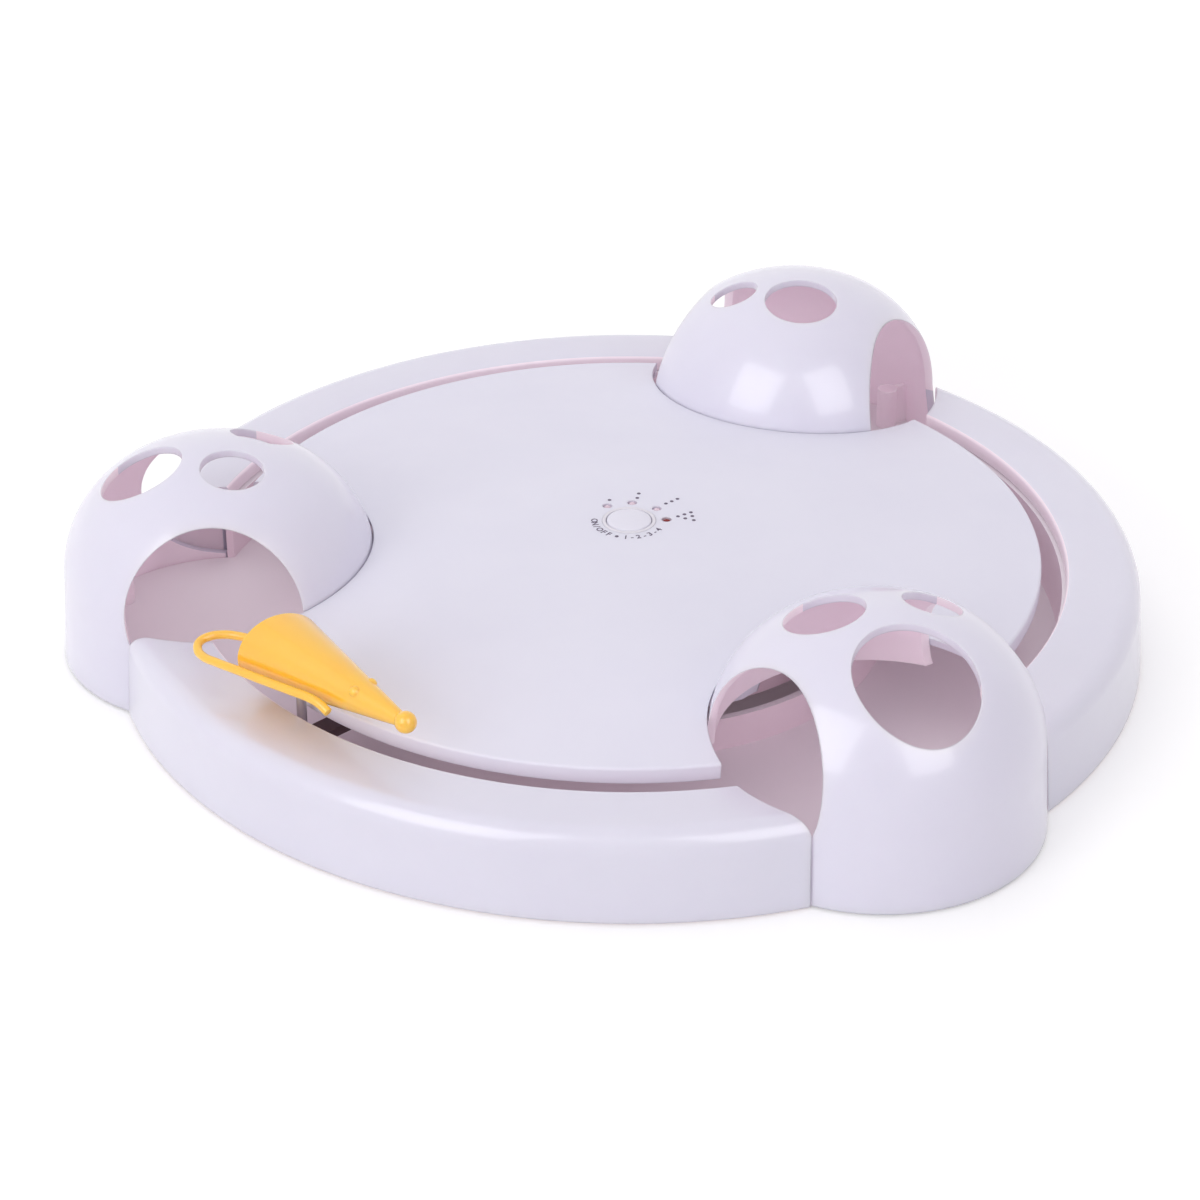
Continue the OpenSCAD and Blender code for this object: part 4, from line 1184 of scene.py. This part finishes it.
@dataclass
class Lamp:
    """A soft box that points at the toy."""

    name: str
    place: tuple[float, float, float]
    width: float
    height: float
    power: float
    reach: Reach = Reach.BODY

    def build(self) -> None:
        """Set the lamp up."""
        light = bpy.data.lights.new(self.name, "AREA")
        light.shape = "RECTANGLE"
        light.size = self.width
        light.size_y = self.height
        light.energy = self.power
        item = bpy.data.objects.new(self.name, light)
        item.location = self.place
        item.visible_diffuse = self.reach is Reach.BODY
        item.visible_glossy = self.reach is Reach.SHINE
        item.rotation_mode = "QUATERNION"
        item.rotation_quaternion = (-Vector(self.place)).to_track_quat("-Z", "Y")
        bpy.context.scene.collection.objects.link(item)


@dataclass
class Studio:
    """Floor, backdrop light, soft boxes and the camera."""

    floor_half: float = 1.2
    floor_white: float = 0.82
    floor_glow: float = 0.28
    fill_left: Colour = (0.78, 0.765, 0.785)
    fill_right: Colour = (0.62, 0.60, 0.62)
    target: tuple[float, float, float] = (-9.39, 17.29, 0.0)
    distance: float = 1081.9
    elevation: float = 30.38
    roll: float = -0.2
    lens: float = 98.19
    sensor: float = 36.0
    clip_near: float = 0.01
    lamps: list[Lamp] = field(default_factory=lambda: [
        Lamp("soft_box_left", (-1.4, -1.4, 0.72), 0.9, 1.3, 12.0),
        Lamp("soft_box_right", (1.2, -1.5, 0.72), 0.5, 1.2, 3.6),
        Lamp("soft_box_top", (-0.2, 0.8, 1.6), 1.8, 1.8, 7.8),
        Lamp("window_left", (-1.175, -1.306, 1.324), 1.4, 1.8, 21.0, Reach.SHINE),
        Lamp("window_right", (0.983, -1.457, 1.324), 1.2, 1.8, 18.0, Reach.SHINE),
    ])

    def seen(self, tree: bpy.types.NodeTree) -> bpy.types.NodeSocket:
        """Return a mask of the rays that should see a white background.

        Args:
            tree: Node tree that the mask is for.

        Returns:
            A socket that is one for camera, glossy and transmission rays.
        """
        path = node(tree, "ShaderNodeLightPath").outputs
        first = node(
            tree, "ShaderNodeMath", {0: path["Is Camera Ray"], 1: path["Is Glossy Ray"]},
            operation="MAXIMUM",
        )
        return node(
            tree, "ShaderNodeMath", {0: first.outputs[0], 1: path["Is Transmission Ray"]},
            operation="MAXIMUM",
        ).outputs[0]

    def floor(self) -> None:
        """Lay the pale floor, which keeps the toy's shadow."""
        sheet = bmesh.new()
        bmesh.ops.create_grid(sheet, x_segments=1, y_segments=1, size=self.floor_half)
        mesh = bpy.data.meshes.new("studio_floor")
        sheet.to_mesh(mesh)
        sheet.free()
        material = bpy.data.materials.new("studio_floor")
        material.use_nodes = True
        tree = material.node_tree
        tree.nodes.remove(tree.nodes["Principled BSDF"])
        paint = node(tree, "ShaderNodeBsdfDiffuse", {"Color": (*[self.floor_white] * 3, 1.0)})
        strength = node(
            tree, "ShaderNodeMath", {0: self.seen(tree), 1: self.floor_glow}, operation="MULTIPLY"
        )
        glow = node(tree, "ShaderNodeEmission", {"Strength": strength.outputs[0]})
        both = node(tree, "ShaderNodeAddShader", {0: paint.outputs[0], 1: glow.outputs[0]})
        tree.links.new(both.outputs[0], tree.nodes["Material Output"].inputs["Surface"])
        mesh.materials.append(material)
        item = bpy.data.objects.new("studio_floor", mesh)
        bpy.context.scene.collection.objects.link(item)

    def backdrop(self) -> None:
        """Give the world a soft fill that looks white behind the toy."""
        world = bpy.data.worlds.new("studio")
        world.use_nodes = True
        tree = world.node_tree
        sky = tree.nodes["Background"]
        sight = node(tree, "ShaderNodeTexCoord").outputs["Generated"]
        way = node(tree, "ShaderNodeSeparateXYZ", {0: sight}).outputs["X"]
        side = node(tree, "ShaderNodeMapRange", {"Value": way, "From Min": -1.0, "From Max": 1.0})
        fill = blended(tree, side.outputs["Result"], self.fill_left, self.fill_right)
        white = blended(tree, self.seen(tree), fill, (1.0, 1.0, 1.0))
        tree.links.new(white, sky.inputs["Color"])
        bpy.context.scene.world = world

    def camera(self) -> None:
        """Set the camera up at the photograph's angle, for a square picture."""
        lens = bpy.data.cameras.new("photo_camera")
        lens.sensor_width = self.sensor
        lens.lens = self.lens
        lens.clip_start = self.clip_near
        rise = math.radians(self.elevation)
        back = Vector((0, -math.cos(rise), math.sin(rise)))
        right = Vector((1, 0, 0))
        up = back.cross(right)
        tilt = math.radians(self.roll)
        across = math.cos(tilt) * right + math.sin(tilt) * up
        upright = math.cos(tilt) * up - math.sin(tilt) * right
        place = Vector(self.target) + back * self.distance
        axes = Matrix((across, upright, back)).transposed().to_4x4()
        item = bpy.data.objects.new("photo_camera", lens)
        item.matrix_world = Matrix.Translation(place * MM) @ axes
        bpy.context.scene.collection.objects.link(item)
        bpy.context.scene.camera = item

    def build(self) -> None:
        """Set up the whole studio."""
        self.floor()
        self.backdrop()
        self.camera()
        for lamp in self.lamps:
            lamp.build()
        bpy.context.scene.view_settings.view_transform = "Standard"


def main() -> None:
    """Build the toy and its studio in order."""
    logging.basicConfig(level=logging.INFO, format="%(name)s: %(message)s")
    deck = Deck()
    domes = [
        Dome(Place.BACK, [(-9.7, -5.8, 12.4), (-10.5, 19.0, 8.0)]),
        Dome(Place.LEFT, [(22.5, 3.0, 13.0), (-6.3, 10.0, 10.0), (-14.5, -19.0, 10.0)]),
        Dome(Place.FRONT, [(23.6, -5.5, 18.5), (-14.0, -10.0, 12.0), (-2.0, 20.0, 9.0)]),
    ]
    rims = [Rim(order, name) for order, name in enumerate(("rim_back", "rim_front", "rim_right"))]
    steps: list[Callable[[], None]] = [Studio().build]
    steps += [part.build for part in (*domes, *rims, deck, Button(), Mouse(), Print(deck), Insides())]
    for step in steps:
        step()


if __name__ == "__main__":
    main()
